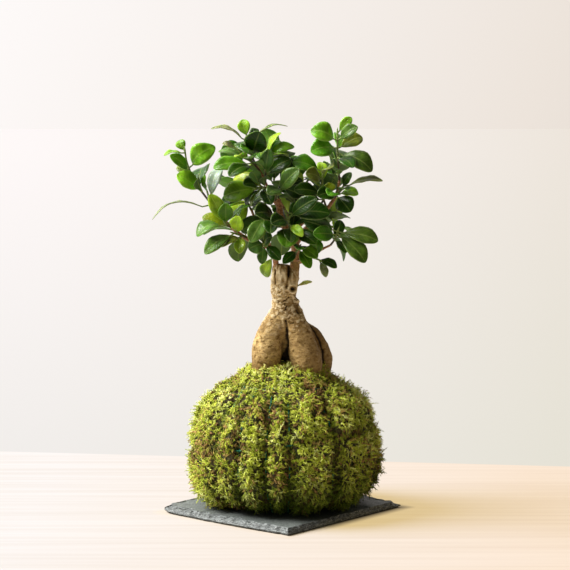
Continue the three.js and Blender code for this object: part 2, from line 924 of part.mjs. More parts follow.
// Where a leaf starts on its twig, which way it runs and which way its upper face looks
function leafFrame(start, tip, { width, face, bow, rows }) {
  const along = tip.clone().sub(start).normalize();
  const length = tip.distanceTo(start);
  const middle = tip.clone().add(start).multiplyScalar(0.5);
  const outward = new THREE.Vector3(middle.x, middle.y, 0).normalize();
  const look = UP.clone().addScaledVector(outward, LEAF_OUTWARD).multiplyScalar(Math.cos(radians(face)));
  look.addScaledVector(VIEWER, Math.sin(radians(face)));
  const upper = look.addScaledVector(along, -look.dot(along)).normalize();
  const side = new THREE.Vector3().crossVectors(upper, along);
  const base = start.clone().addScaledVector(along, length * PETIOLE_SHARE);
  const blade = length * (1 - PETIOLE_SHARE);
  return { start, base, along, upper, side, blade, width, bow, rows };
}

function bladeOutline(share) {
  return Math.pow(Math.max(Math.sin(Math.PI * Math.pow(share, BLADE_FULLEST)), 0), BLADE_ROUND);
}

// A point of the blade: share runs from petiole to tip, across from -1 to 1
function bladePoint(leaf, share, across) {
  const half = (leaf.width / 2) * bladeOutline(share);
  const lift = leaf.bow * leaf.blade * 4 * share * (1 - share) + BLADE_FOLD * half * Math.abs(across);
  return leaf.base
    .clone()
    .addScaledVector(leaf.along, leaf.blade * share)
    .addScaledVector(leaf.side, half * across)
    .addScaledVector(leaf.upper, lift);
}

// One face of the leaf: the petiole's end in the twig, the cross rows of the blade and its tip
function leafFace(leaf, lift) {
  const points = [-0.5, 0.5].map((share) => {
    return leaf.start.clone().addScaledVector(leaf.side, share * PETIOLE_WIDTH);
  });
  leaf.rows.forEach((share) => {
    [-1, 0, 1].forEach((across) => points.push(bladePoint(leaf, share, across)));
  });
  points.push(bladePoint(leaf, 1, 0));
  points.forEach((point) => point.addScaledVector(leaf.upper, lift));
  return points;
}

function bladeTriangles(rows) {
  const triangles = [[0, 1, 3], [0, 3, 2], [1, 4, 3]];
  for (let row = 0; row + 1 < rows; row += 1) {
    const left = 2 + 3 * row;
    triangles.push([left, left + 1, left + 4], [left, left + 4, left + 3]);
    triangles.push([left + 1, left + 2, left + 5], [left + 1, left + 5, left + 4]);
  }
  const end = 3 * rows - 1;
  const tip = 3 * rows + 2;
  triangles.push([end, end + 1, tip], [end + 1, end + 2, tip]);
  return triangles;
}

// Numbers of the points round the edge of a leaf's face
function leafRim(rows) {
  const rim = [1];
  for (let row = 0; row < rows; row += 1) rim.push(4 + 3 * row);
  rim.push(3 * rows + 2);
  for (let row = rows - 1; row >= 0; row -= 1) rim.push(2 + 3 * row);
  rim.push(0);
  return rim;
}

function leafSolid(leaf) {
  const upper = leafFace(leaf, BLADE_THICK / 2);
  const lower = leafFace(leaf, -BLADE_THICK / 2);
  const shift = upper.length;
  const rows = leaf.rows.length;
  const triangles = [];
  bladeTriangles(rows).forEach(([a, b, c]) => {
    triangles.push(a, b, c, a + shift, c + shift, b + shift);
  });
  const rim = leafRim(rows);
  rim.forEach((a, i) => {
    const b = rim[(i + 1) % rim.length];
    triangles.push(b, a, b + shift, a, a + shift, b + shift);
  });
  return solidOf(geometryOf([...upper, ...lower], triangles));
}

// Keeping leaves clear of each other

function leafProbe(leaf, spray) {
  const samples = [];
  for (let row = 0; row <= PROBE_ROWS; row += 1) {
    const share = row / PROBE_ROWS;
    [-1, 0, 1].forEach((across) => samples.push({ point: bladePoint(leaf, share, across), share }));
  }
  const face = leafFace(leaf, 0);
  const triangles = bladeTriangles(leaf.rows.length).map(([a, b, c]) => {
    return new THREE.Triangle(face[a], face[b], face[c]);
  });
  const middle = bladePoint(leaf, 0.5, 0);
  return { leaf, spray, samples, triangles, middle, reach: leaf.blade * 0.5 + leaf.width * 0.3 };
}

function distanceTo(point, triangles) {
  const nearest = new THREE.Vector3();
  let least = Infinity;
  triangles.forEach((triangle) => {
    triangle.closestPointToPoint(point, nearest);
    least = Math.min(least, nearest.distanceTo(point));
  });
  return least;
}

function leavesClear(a, b) {
  if (a.middle.distanceTo(b.middle) > a.reach + b.reach + CLEAR_OTHER) return true;
  const own = a.spray === b.spray;
  const needed = own ? CLEAR_OWN : CLEAR_OTHER;
  const from = own ? OWN_FROM : 0;
  const misses = (one, other) =>
    one.samples.every(({ point, share }) => share < from || distanceTo(point, other.triangles) > needed);
  return misses(a, b) && misses(b, a);
}

function woodClear(probe, wood) {
  return wood.every(({ point, radius, spray }) => {
    const away = point.distanceTo(probe.middle);
    if (away > probe.reach + radius + CLEAR_WOOD) return true;
    const base = point.distanceTo(probe.leaf.start);
    if (spray === probe.spray && base < OWN_WOOD) return true;
    return distanceTo(point, probe.triangles) > radius + CLEAR_WOOD;
  });
}

function woodAlong(path, radii, spray) {
  const curve = curveOf(path);
  const steps = Math.ceil(curve.getLength() / WOOD_STEP);
  const found = [];
  for (let step = 0; step <= steps; step += 1) {
    const share = step / steps;
    found.push({ point: curve.getPointAt(share), radius: radii[0] + (radii[1] - radii[0]) * share, spray });
  }
  return found;
}

function allWood() {
  const wood = [];
  Object.values(LIMBS).flat().forEach(({ path, radii }) => wood.push(...woodAlong(path, radii, '')));
  SPRAYS.forEach(({ name, twig }) => wood.push(...woodAlong(twig, [TWIG_RADIUS, TWIG_RADIUS], name)));
  wood.push(...woodAlong(STEM_PROBE.path, STEM_PROBE.radii, ''));
  return wood;
}

function swungTip(start, tip, swing) {
  const reach = tip.distanceTo(start);
  const swung = tip.clone().addScaledVector(VIEWER, -swing).sub(start).normalize();
  return start.clone().addScaledVector(swung, reach);
}

// The leaves that a spray's rule stands round its twig
function roundLeaves({ twig, round = 0, behind = 0 }, random) {
  const curve = curveOf(twig);
  const count = round + behind;
  const listed = [];
  for (let i = 0; i < count; i += 1) {
    const step = (behind ? i : i + 1) / count;
    const share = ROUND_FROM + (1 - ROUND_FROM) * step;
    const start = curve.getPointAt(share);
    const axis = curve.getTangentAt(share);
    const flat = new THREE.Vector3().crossVectors(axis, UP).normalize();
    const rise = new THREE.Vector3().crossVectors(flat, axis).normalize();
    const turn = radians(ROUND_TURN * i + ROUND_JITTER * random());
    const lean = radians(ROUND_LEAN * (step === 1 ? END_LEAN : 1));
    const direction = axis.clone().multiplyScalar(Math.cos(lean));
    direction.addScaledVector(flat, Math.sin(lean) * Math.cos(turn));
    direction.addScaledVector(rise, Math.sin(lean) * Math.sin(turn));
    if (behind) direction.y = Math.abs(direction.y) + ROUND_BACK;
    direction.normalize();
    const length = ROUND_LENGTH[0] + (ROUND_LENGTH[1] - ROUND_LENGTH[0]) * random();
    const tip = start.clone().addScaledVector(direction, length);
    listed.push({ start, tip, width: length * ROUND_WIDTH, face: 0, bow: BLADE_BOW, rows: SMALL_ROWS });
  }
  return listed;
}

// Every leaf of every spray, swung where needed so that none touches another or the wood.
// One that finds no clear place is left out.
function placedLeaves() {
  const random = seeded(LEAF_SEED);
  const wood = allWood();
  const wanted = [];
  SPRAYS.forEach((spray) => {
    const curve = curveOf(spray.twig);
    spray.leaves.forEach(([share, x, y, z, width, face, bow = BLADE_BOW]) => {
      const start = curve.getPointAt(share);
      const form = { width, face, bow, rows: width > WIDE_FROM || bow > BLADE_BOW ? WIDE_ROWS : SMALL_ROWS };
      wanted.push({ spray: spray.name, start, tip: vec([x, y, z]), ...form });
    });
  });
  SPRAYS.forEach((spray) => {
    roundLeaves(spray, random).forEach((leaf) => wanted.push({ spray: spray.name, ...leaf }));
  });
  const placed = [];
  wanted.forEach(({ spray, start, tip, ...form }) => {
    const found = SWINGS.map((swing) => {
      return leafProbe(leafFrame(start, swungTip(start, tip, swing), form), spray);
    }).find((probe) => woodClear(probe, wood) && placed.every((other) => leavesClear(probe, other)));
    if (found) placed.push(found);
  });
  return placed;
}

// Assembly

function material(colour, roughness) {
  return new THREE.MeshStandardMaterial({ color: colour, roughness, metalness: 0 });
}

const plant = new THREE.Group();

function addPiece(name, geometry, finish) {
  const mesh = new THREE.Mesh(geometry, finish);
  mesh.name = name;
  plant.add(mesh);
}

const trunk = largestBody(trunkSolid());
const trunkRoom = trunkSolid(GAP);

addPiece('slate_tile', slateGeometry(), material('#4c5250', 0.85));

const soil = ballCore(MOSS_DEPTH + GAP);
addPiece('soil_core', geometryFrom(largestBody(soil.subtract(trunkRoom))), material('#3a2c20', 1));

const moss = mossOuter().subtract(ballCore(MOSS_DEPTH)).subtract(trunkRoom);
addPiece('moss_wrap', geometryFrom(largestBody(moss)), material('#74842c', 1));

addPiece('binding_thread', geometryFrom(largestBody(threadSolid())), material('#2c6a58', 0.7));

addPiece('trunk', geometryFrom(trunk), material('#b39a75', 0.8));

const limbs = {};
const limbRooms = {};
Object.entries(LIMBS).forEach(([name, forks]) => {
  const build = (grow) => joined(forks.map(({ path, radii }) => limbSolid(path, radii, grow)));
  limbs[name] = build(0);
  limbRooms[name] = build(GAP);
  addPiece(name, geometryFrom(largestBody(limbs[name].subtract(trunkRoom))), material('#6b4a2c', 0.8));
});

const leaves = placedLeaves();
SPRAYS.forEach(({ name, limb, twig }) => {
  const solids = [solidOf(tubeGeometry(curveOf(twig), TWIG_RADIUS, TWIG_SIDES, twig.length - 1))];
  leaves.filter(({ spray }) => spray === name).forEach(({ leaf }) => {
    solids.push(leafSolid(leaf));
  });
  const spray = joined(solids).subtract(limbRooms[limb]);
  addPiece(name, geometryFrom(largestBody(spray)), material('#3f6b24', 0.45));
});

export default plant;
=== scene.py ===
"""Looks of a kokedama: a grafted ficus in a moss ball on a slate tile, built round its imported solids.

Lengths are millimetres until a mesh is made, which turns them to metres. +Z is up, +X is to the
viewer's right and the viewer stands on the -Y side. The origin is the centre of the slate's underside.
"""

import math

import bpy
import numpy as np
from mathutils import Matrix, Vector, noise


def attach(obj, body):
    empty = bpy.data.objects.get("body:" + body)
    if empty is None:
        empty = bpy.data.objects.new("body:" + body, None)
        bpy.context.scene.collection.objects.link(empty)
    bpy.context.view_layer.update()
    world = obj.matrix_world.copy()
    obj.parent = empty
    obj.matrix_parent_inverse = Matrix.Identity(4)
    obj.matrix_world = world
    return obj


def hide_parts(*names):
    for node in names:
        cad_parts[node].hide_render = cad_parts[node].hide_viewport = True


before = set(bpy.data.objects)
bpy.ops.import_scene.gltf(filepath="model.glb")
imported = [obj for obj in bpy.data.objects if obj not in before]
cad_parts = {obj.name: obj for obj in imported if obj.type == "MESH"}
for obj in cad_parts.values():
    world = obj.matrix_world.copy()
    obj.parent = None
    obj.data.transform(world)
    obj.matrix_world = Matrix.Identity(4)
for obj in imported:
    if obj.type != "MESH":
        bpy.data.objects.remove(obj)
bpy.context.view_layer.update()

MM = 0.001

# Sizes that the solids share

GAP = 0.3  # clearance between pieces that touch

TILE_SIDE = 150
TILE_THICK = 5
TILE_TURN = 48.1  # degrees, where 0 is square-on and 45 has a corner straight towards the viewer
TILE_STEPS = 12  # outline points along each edge
TILE_LAYERS = [0, 1.7, 3.3, TILE_THICK]  # heights where the split edge steps in
TILE_FLAKE = 5  # how far the lowest layer sticks out at the right-hand corner

BALL_X = 3  # the ball sits a little right of the tile's middle
BALL_RADIUS = 85.5
BALL_WAIST = 55  # height of the widest ring
BALL_TOP = 130
BALL_FLOOR = 7.4
BALL_BELLY = 52  # depth from the waist to the pole below
BALL_SHOULDER = 2.15  # power of the outline's curve above the waist, where 2 is an ellipse
MOSS_MOUND = 4  # how far the moss climbs round the foot of the roots
MOSS_MOUND_RING = (22, 50)  # half widths between which the mound falls away
GROOVE_DEPTH = 5.5
GROOVE_WIDTH = 7
GROOVE_RING = (44, 66)  # half widths between which the grooves deepen
BELT_PULL = 0.6  # depth of the belt's groove as a share of the strands'
COLLAR_PULL = 0.4

THREAD_WIDTH = 1.2
THREAD_ROOM = 1.6  # more lift where the ball curves away fastest
THREAD_ROOM_ANGLES = (35, 58)
THREAD_ROWS = 8  # steps of a strand from top to bottom
THREAD_TOP = 56  # where the turn round the roots lies, in degrees up the ball's outline
THREAD_BOTTOM = -66
THREAD_UNDER = (0.2, 0.5, 0.8)  # points of a strand's run below the ball
THREAD_FLOOR = TILE_THICK + GAP + THREAD_WIDTH / 2
COLLAR_STEPS = 20
BELT_STEPS = 28
BELT_HEIGHT = 68
BELT_TILT = 12
BELT_TURN = 70  # degrees, where the belt is highest

TWIG_RADIUS = 0.95
PETIOLE_WIDTH = 1.5  # of the leaf's stalk
PETIOLE_SHARE = 0.16  # its share of the length from twig to leaf tip
BLADE_FULLEST = 1.12  # over 1 moves the widest place towards the tip
BLADE_ROUND = 0.72  # under 1 fills out the blade's shoulders
BLADE_BOW = 0.1  # rise of the arched blade, as a share of its length
BLADE_FOLD = 0.18  # rise of the edges over the midrib
WIDE_ROWS = [0.14, 0.48, 0.82]  # where the blade of a wide leaf has its cross rows
SMALL_ROWS = [0.26, 0.72]  # and that of a small or hidden one
WIDE_FROM = 12.5  # least width of a wide one
LEAF_OUTWARD = 0.45  # how far upper faces turn away from the trunk

# Strands of thread: the azimuth where each loop comes up and where it goes down,
# in degrees from the front (-Y) towards +X
STRANDS = [[-47, 141], [-31, 166], [-12, -168], [3, -143], [33, -115], [72, -82]]

# Swollen roots and stem: x, y, z and half widths in x and y of each section
ROOTS = {
    "stem": [
        [-0.2, 0, 219, 7, 7], [1.5, 0, 214.5, 9.5, 8.8], [3.4, 0, 208, 12.7, 9.5],
        [2.7, 0, 200.5, 12, 10.5], [2, 0, 193, 11, 10.5], [3, 0, 187, 10.9, 10.5],
        [4.2, 0, 181, 12.2, 11.5], [4.6, 0, 175.5, 14.8, 13], [4.4, 0.5, 169, 17.6, 15],
        [4, 2, 160, 20, 17], [5, 5, 148, 17, 14], [6, 7, 128, 11, 10],
    ],
    "left": [
        [0, -2, 184, 6, 6], [-4.3, -4.5, 171, 10.2, 10], [-8.5, -7, 161, 12.5, 12],
        [-11.4, -8, 150, 13.7, 13.5], [-12.8, -9, 140, 13.4, 14], [-13.3, -9, 130, 12.6, 13.5],
        [-13, -9, 117, 10.5, 11], [-13, -8, 102, 6.5, 7], [-13, -8, 90, 2.5, 3],
    ],
    "right": [
        [7.5, -2, 183, 6, 6.5], [12.6, -6.5, 168.5, 10.2, 10.5], [16, -9, 158, 11.8, 12.5],
        [18.2, -10, 149, 13.5, 14], [20.8, -11, 141, 14.2, 15.5], [22, -11, 133, 14.4, 15.5],
        [22.5, -11, 121, 12.5, 13], [22.5, -10, 105, 8, 8.5], [22, -10, 88, 2.5, 3],
    ],
    "back_right": [
        [13.5, 6, 172, 5.5, 7], [17.5, 10, 165.5, 6.8, 9], [22.5, 13, 160, 10.3, 10.5],
        [29.7, 15, 149, 10.3, 11.5], [33, 16, 141.5, 10.4, 12], [35, 16, 133, 10.4, 12],
        [35.5, 16, 121, 9, 10], [35, 15, 106, 5.5, 6], [34, 14, 92, 2.2, 2.5],
    ],
    "back": [
        [2, 6, 176, 8, 7], [-1, 13, 164, 10.5, 10], [-5, 18, 152, 12, 12], [-7, 21, 140, 12.2, 12.5],
        [-8, 22, 129, 11.6, 12], [-8, 21, 114, 8.5, 9], [-8, 20, 96, 3, 3],
    ],
}

# Knots and wrinkle scars on the stem: x, y, z and radius
KNOTS = [[9.4, -8.2, 197.6, 4], [12.6, -2, 186, 3.6], [-6, 6, 205, 4]]

# Woody limbs: each fork has the radii at its ends and the points that it passes
LIMBS = {
    "limb_left": [
        {"radii": [2.6, 1.2], "path": [
            [-4.6, -1, 211], [-5, -3, 222], [-10, -7, 234], [-22, -11, 238], [-37, -13, 247],
            [-45, -13, 254], [-56, -12, 265], [-63, -10, 275],
        ]},
        {"radii": [1.7, 1.1], "path": [[-9, -6, 233], [-14, 6, 243], [-22, 19, 254], [-27, 27, 266]]},
    ],
    "limb_right": [
        {"radii": [4.7, 2.5], "path": [
            [10.5, 0, 204], [11.8, 0, 218], [12, -1, 236], [6, -3, 247], [0.5, -4, 258], [-3, -4, 277],
        ]},
        {"radii": [1.6, 1], "path": [
            [-1.5, -4, 268], [-9, -1, 279], [-13, 0, 289], [-17, 1, 298], [-22, 2, 306],
        ]},
        {"radii": [2.8, 1.2], "path": [
            [12, -1, 236], [21, 2, 249], [33, 3, 260], [42, 3, 270], [48, 1, 280], [51, 0, 293],
        ]},
        {"radii": [1.8, 1], "path": [
            [11.6, -2, 221], [19, -7, 222], [28, -11, 227], [35, -13, 233], [43, -14, 237],
        ]},
        {"radii": [2.4, 1.2], "path": [[12, 0, 234], [10, 11, 246], [6, 24, 259], [-1, 34, 272]]},
        {"radii": [1.9, 1.1], "path": [[10, 11, 246], [20, 23, 255], [32, 33, 265]]},
    ],
}

# Leafy sprays. The twig starts inside its limb. Each leaf has its place along the twig (0 to 1),
# its tip, its width, how far its upper face turns from up and outward towards the viewer in degrees,
# and, where it isn't the usual one, its bow. round is how many more leaves stand round the twig by rule,
# and behind how many stand only on the far side of it. Each letter of tones is the colour of one leaf.
SPRAYS = [
    {
        "name": "spray_left_tip", "tones": "yybgoyd", "behind": 1,
        "twig": [
            [-63, -10, 275], [-70, -8, 284], [-76, -7, 293], [-80, -6, 302], [-83, -5, 311], [-84, -5, 318],
        ],
        "leaves": [
            [0.98, -102, -12, 316, 9, 20], [1, -90, -1, 328, 9, 60], [0.7, -58, -14, 323, 18, 75, 0.42],
            [0.62, -97, -16, 317, 11, 50], [0.5, -91, 4, 306, 10, 30], [0.22, -90, -18, 299, 16, 50],
            [0.2, -73, -16, 304, 12, 40],
        ],
    },
    {
        "name": "spray_left_side", "tones": "vgp",
        "twig": [[-59, -11, 269], [-62, -15, 275], [-64, -15, 282]],
        "leaves": [
            [0.6, -53, -13, 306, 13, 40], [0.95, -67, -10, 298, 7, 20], [0.3, -112, -24, 261, 9, 0, 0.2],
        ],
    },
    {
        "name": "spray_left_low", "tones": "llgs",
        "twig": [[-44, -13, 253], [-47, -18, 254], [-49, -23, 257]],
        "leaves": [
            [0.4, -59, 3, 277, 13, 40], [0.3, -66, -4, 261, 11, 50], [0.7, -48, -30, 274, 13, 85],
            [0.7, -73, -32, 247, 16, 30, 0.22],
        ],
    },
    {
        "name": "spray_left_under", "tones": "osyl",
        "twig": [[-30, -12, 243], [-36, -19, 246], [-41, -23, 248]],
        "leaves": [
            [0.4, -54, -33, 238, 13, 40], [1, -69, -26, 230, 13, 60, 0.16], [0.5, -36, -32, 232, 10, 60],
            [0.8, -37, -24, 266, 13, 60],
        ],
    },
    {
        "name": "spray_left_inner", "tones": "ssdd",
        "twig": [[-14, -8, 235], [-15, -15, 237], [-14, -22, 240]],
        "leaves": [
            [0.6, -17, -26, 222, 9, 60], [0.9, -28, -28, 235, 15, 70], [0.8, -9, -34, 246, 14, 60],
            [0.7, -1, -30, 226, 10, 70],
        ],
    },
    {
        "name": "spray_top_left", "tones": "pyddgp", "behind": 1,
        "twig": [[-22, 2, 306], [-26, 1, 314], [-28, 0, 322], [-30, 0, 330]],
        "leaves": [
            [0.9, -61, -5, 339, 8, 20, 0.16], [1, -34, 0, 346, 11, 60], [0.95, -21, -5, 337, 8, 50],
            [0.35, -19, -14, 335, 20, 85], [0.4, -39, -13, 328, 12, 60], [0.85, 5, 4, 341, 8, 15, 0.16],
        ],
    },
    {
        "name": "spray_top_outer", "tones": "spbd",
        "twig": [[-19, 1.5, 301], [-24, -4, 307], [-31, -5, 313], [-40, -4, 321]],
        "leaves": [
            [0.5, -55, 4, 319, 9, 20], [1, -51, -5, 326, 6, 40], [0.35, -59, -14, 305, 15, 50],
            [0.3, -49, -22, 297, 15, 50],
        ],
    },
    {
        "name": "spray_mid_left", "tones": "blsd",
        "twig": [[-12, 0, 286], [-17, -6, 287], [-22, -11, 286]],
        "leaves": [
            [0.6, -48, -20, 280, 20, 60], [0.3, -42, 12, 295, 14, 40], [0.8, -54, -8, 272, 12, 60],
            [0.7, -32, -24, 291, 13, 50],
        ],
    },
    {
        "name": "spray_front_left", "tones": "dssd",
        "twig": [[0, -4, 260], [-7, -12, 262], [-13, -19, 263]],
        "leaves": [
            [0.4, -26, -32, 268, 19, 60], [0.8, -34, -25, 250, 15, 60], [1, -26, -38, 242, 15, 70],
            [0.6, -9, -38, 252, 14, 70],
        ],
    },
    {
        "name": "spray_front", "tones": "gldddd",
        "twig": [[8, -2, 243], [8, -11, 250], [6, -17, 258], [4, -19, 265]],
        "leaves": [
            [0.55, 4, -40, 238, 19, 85], [0.65, 18, -36, 247, 9, 60], [1, 42, -27, 266, 18, 55],
            [0.4, 30, -32, 240, 13, 55], [0.8, -10, -36, 258, 15, 60], [0.85, 30, -34, 279, 14, 60],
        ],
    },
    {
        "name": "spray_front_low", "tones": "gbdd",
        "twig": [[12, -2, 226], [14, -11, 232], [16, -17, 236]],
        "leaves": [
            [0.8, 25, -30, 219, 10, 70], [1, 31, -31, 228, 11, 60], [0.6, 2, -28, 223, 9, 70],
            [0.9, 14, -40, 237, 13, 60],
        ],
    },
    {
        "name": "spray_centre_top", "tones": "sybgd", "behind": 2,
        "twig": [[-14.5, 0.5, 292], [-14, -6, 299], [-14, -7, 307], [-13, -6, 316]],
        "leaves": [
            [0.35, -11, -16, 320, 12, 80], [0.6, -10, -3, 330, 12, 40], [1, 11, -10, 323, 9, 50, 0.2],
            [0.9, -1, 2, 328, 9, 40], [0.3, 8, -12, 312, 14, 55],
        ],
    },
    {
        "name": "spray_centre", "tones": "sdsdds",
        "twig": [[-5, -3, 274], [-4, -9, 281], [1, -12, 287]],
        "leaves": [
            [0.6, 16, -22, 305, 15, 50], [0.5, 13, -26, 291, 14, 50], [0.9, -11, -30, 283, 13, 50],
            [0.8, 10, -2, 312, 13, 30], [1, 17, -14, 280, 14, 50], [0.3, -14, -14, 300, 12, 40],
        ],
    },
    {
        "name": "spray_right_inner", "tones": "gollddo", "behind": 1,
        "twig": [[40, 3, 268], [37, -4, 277], [36, -6, 288], [36, -5, 301]],
        "leaves": [
            [1, 10, -8, 310, 17, 50], [0.8, 22, -20, 300, 14, 60], [0.6, 20, 8, 296, 13, 30],
            [0.7, 35, 10, 309, 10, 50], [0.45, 10, -14, 286, 14, 50], [0.3, 12, -10, 277, 13, 45],
            [0.9, 44, -22, 306, 12, 50],
        ],
    },
    {
        "name": "spray_right_top", "tones": "bgysodmp", "behind": 2,
        "twig": [[51, 0, 292], [50, -1, 305], [49, -1, 317], [49, -1, 327], [49, -1, 334]],
        "leaves": [
            [0.85, 26, -10, 337, 18, 65, 0.26], [0.7, 26, -16, 319, 18, 60, 0.18], [1, 61, -2, 348, 9, 50],
            [0.85, 67, -8, 341, 12, 55], [0.68, 71, 4, 331, 14, 50], [0.5, 62, -24, 306, 13, 60],
            [0.6, 79, -14, 302, 18, 60, 0.2], [0.28, 27, -2, 318, 8, 5, 0.24],
        ],
    },
    {
        "name": "spray_right_side", "tones": "oddydd",
        "twig": [[46, 2, 277], [50, -5, 282], [54, -8, 288]],
        "leaves": [
            [1, 88, -14, 294, 10, 25], [0.9, 60, -18, 300, 8, 40], [0.6, 62, -20, 290, 10, 50],
            [0.5, 67, -10, 282, 12, 40], [0.3, 60, -18, 267, 17, 80], [0.4, 32, -22, 281, 14, 50],
        ],
    },
    {
        "name": "spray_right_low", "tones": "mmdgdb",
        "twig": [[43, -14, 237], [47, -16, 243], [49, -17, 249]],
        "leaves": [
            [1, 84, -24, 242, 16, 55], [0.9, 73, -32, 224, 17, 55], [1, 20, -24, 259, 15, 80, 0.2],
            [0.8, 26, -32, 249, 14, 75], [0.5, 56, -28, 232, 9, 50], [0.6, 60, -2, 243, 10, 30],
        ],
    },
    {
        "name": "spray_right_under", "tones": "dpg",
        "twig": [[27, -11, 226], [31, -16, 225], [34, -19, 224]],
        "leaves": [
            [0.6, 48, -26, 219, 9, 50], [0.9, 38, -30, 213, 7, 60], [0.4, 30, -26, 238, 12, 60],
        ],
    },
    {
        "name": "spray_back_left", "tones": "dl", "round": 7,
        "twig": [[-27, 27, 265], [-31, 34, 273], [-35, 39, 282], [-38, 42, 291]],
        "leaves": [
            [0.15, -10, 22, 282, 16, 50], [0.25, -36, 14, 284, 15, 50],
        ],
    },
    {
        "name": "spray_back_left_low", "round": 5,
        "twig": [[-18, 13, 249], [-27, 21, 247], [-36, 28, 247]],
    },
    {
        "name": "spray_back_top", "round": 7,
        "twig": [[-1, 34, 271], [-5, 39, 282], [-7, 42, 294], [-6, 43, 306]],
    },
    {
        "name": "spray_back_middle", "round": 7,
        "twig": [[8, 18, 253], [13, 27, 264], [16, 33, 277], [17, 36, 290]],
    },
    {
        "name": "spray_back_low", "tones": "dg", "round": 5,
        "twig": [[9, 14, 249], [3, 26, 248], [0, 38, 250]],
        "leaves": [
            [0.25, -9, 14, 270, 16, 50], [0.5, -18, 22, 258, 16, 50],
        ],
    },
    {
        "name": "spray_back_right", "round": 7,
        "twig": [[32, 33, 264], [38, 39, 274], [43, 42, 285], [46, 43, 297]],
    },
    {
        "name": "spray_back_right_low", "round": 5,
        "twig": [[22, 25, 256], [32, 29, 251], [43, 33, 250]],
    },
]

# The solids' own rule for the other leaves, and how near a leaf may come to others and to wood

ROUND_TURN = 137.5  # degrees from one leaf to the next
ROUND_LEAN = 58  # degrees from the twig's own direction
ROUND_LENGTH = (30, 37)
ROUND_WIDTH = 0.5  # share of their length
ROUND_JITTER = 40  # degrees
ROUND_FROM = 0.3  # share of the twig where the first one stands
ROUND_BACK = 0.35  # how far they turn behind the listed leaves
END_LEAN = 0.35  # the leaf at the twig's end leans this share as much

# How far a leaf's tip is tried further back, or nearer where below 0, in turn
SWINGS = (0, -5, 5, -10, 10, -15, 15, -21, 21, -28, 28)
CLEAR_OTHER = 2.3  # to leaves of other sprays
CLEAR_OWN = 1.3  # to leaves of the same spray
CLEAR_WOOD = 1.1  # to limbs, twigs and the stem
OWN_FROM = 0.4  # share of the blade beyond which leaves of one spray keep apart
OWN_WOOD = 6  # reach round a leaf's start where its own twig may touch it
PROBE_ROWS = 7
WOOD_STEP = 2.5  # between the places tried along wood
STEM_PROBE = {"path": [[1, 0, 217], [3, 0, 206], [3, 0, 195], [4, 0, 182]], "radii": [7, 12]}

SLATE_SEED = 11
LEAF_SEED = 5

VIEWER = np.array([0.0, -1.0, 0.0])
UP = np.array([0.0, 0.0, 1.0])
TINY = 1e-9  # keeps a direction from coming out as nothing
LEAST = 1e-12  # keeps a division from failing

# Finer detail that only the looks have

LEAF_ROWS = 12
LEAF_COLUMNS = 6
LEAF_THICK = 0.5
LEAF_ROLL = 0.1  # how far the margin curls down, as a share of the half width
LEAF_WAVE = 0.5  # how far the margin waves up and down
FROND_COUNT = 21600
FROND_LENGTH = (4.8, 9)
FROND_WIDTH = 0.8
LEAFLETS = 5
LEAFLET_LENGTH = (2.0, 3.9)
LEAFLET_WIDTH = 0.85
MOSS_PIECES = 4
THREAD_STRAY = 2.8  # how far the thread wanders in and out
RING_SUNK = 5  # how deep the turn round the roots and the belt lie
THREAD_SUNK = 3.4  # how deep the thread lies under the tips of the moss
MOSS_BED = 3.2  # how deep the moss's dark bed lies under the tips


# Small helpers


def seeded(seed):
    """Draws from 0 to 1, the same ones as the solids' own rule has."""
    mask = 0xFFFFFFFF
    state = [seed & mask]

    def draw():
        state[0] = (state[0] + 0x6D2B79F5) & mask
        mixed = state[0]
        mixed = ((mixed ^ (mixed >> 15)) * (mixed | 1)) & mask
        mixed ^= (mixed + (((mixed ^ (mixed >> 7)) * (mixed | 61)) & mask)) & mask
        return (mixed ^ (mixed >> 14)) / 4294967296

    return draw


def unit(vector):
    return vector / np.maximum(np.linalg.norm(vector, axis=-1, keepdims=True), LEAST)


def smoothstep(value, low, high):
    share = np.clip((value - low) / (high - low), 0, 1)
    return share * share * (3 - 2 * share)


def hill(away, width):
    """A soft hill 1 high, which falls away from its middle over about that width."""
    return np.exp(-((away / width) ** 2))


def circle(count):
    """Even turns round a circle."""
    return 2 * np.pi * np.arange(count) / count


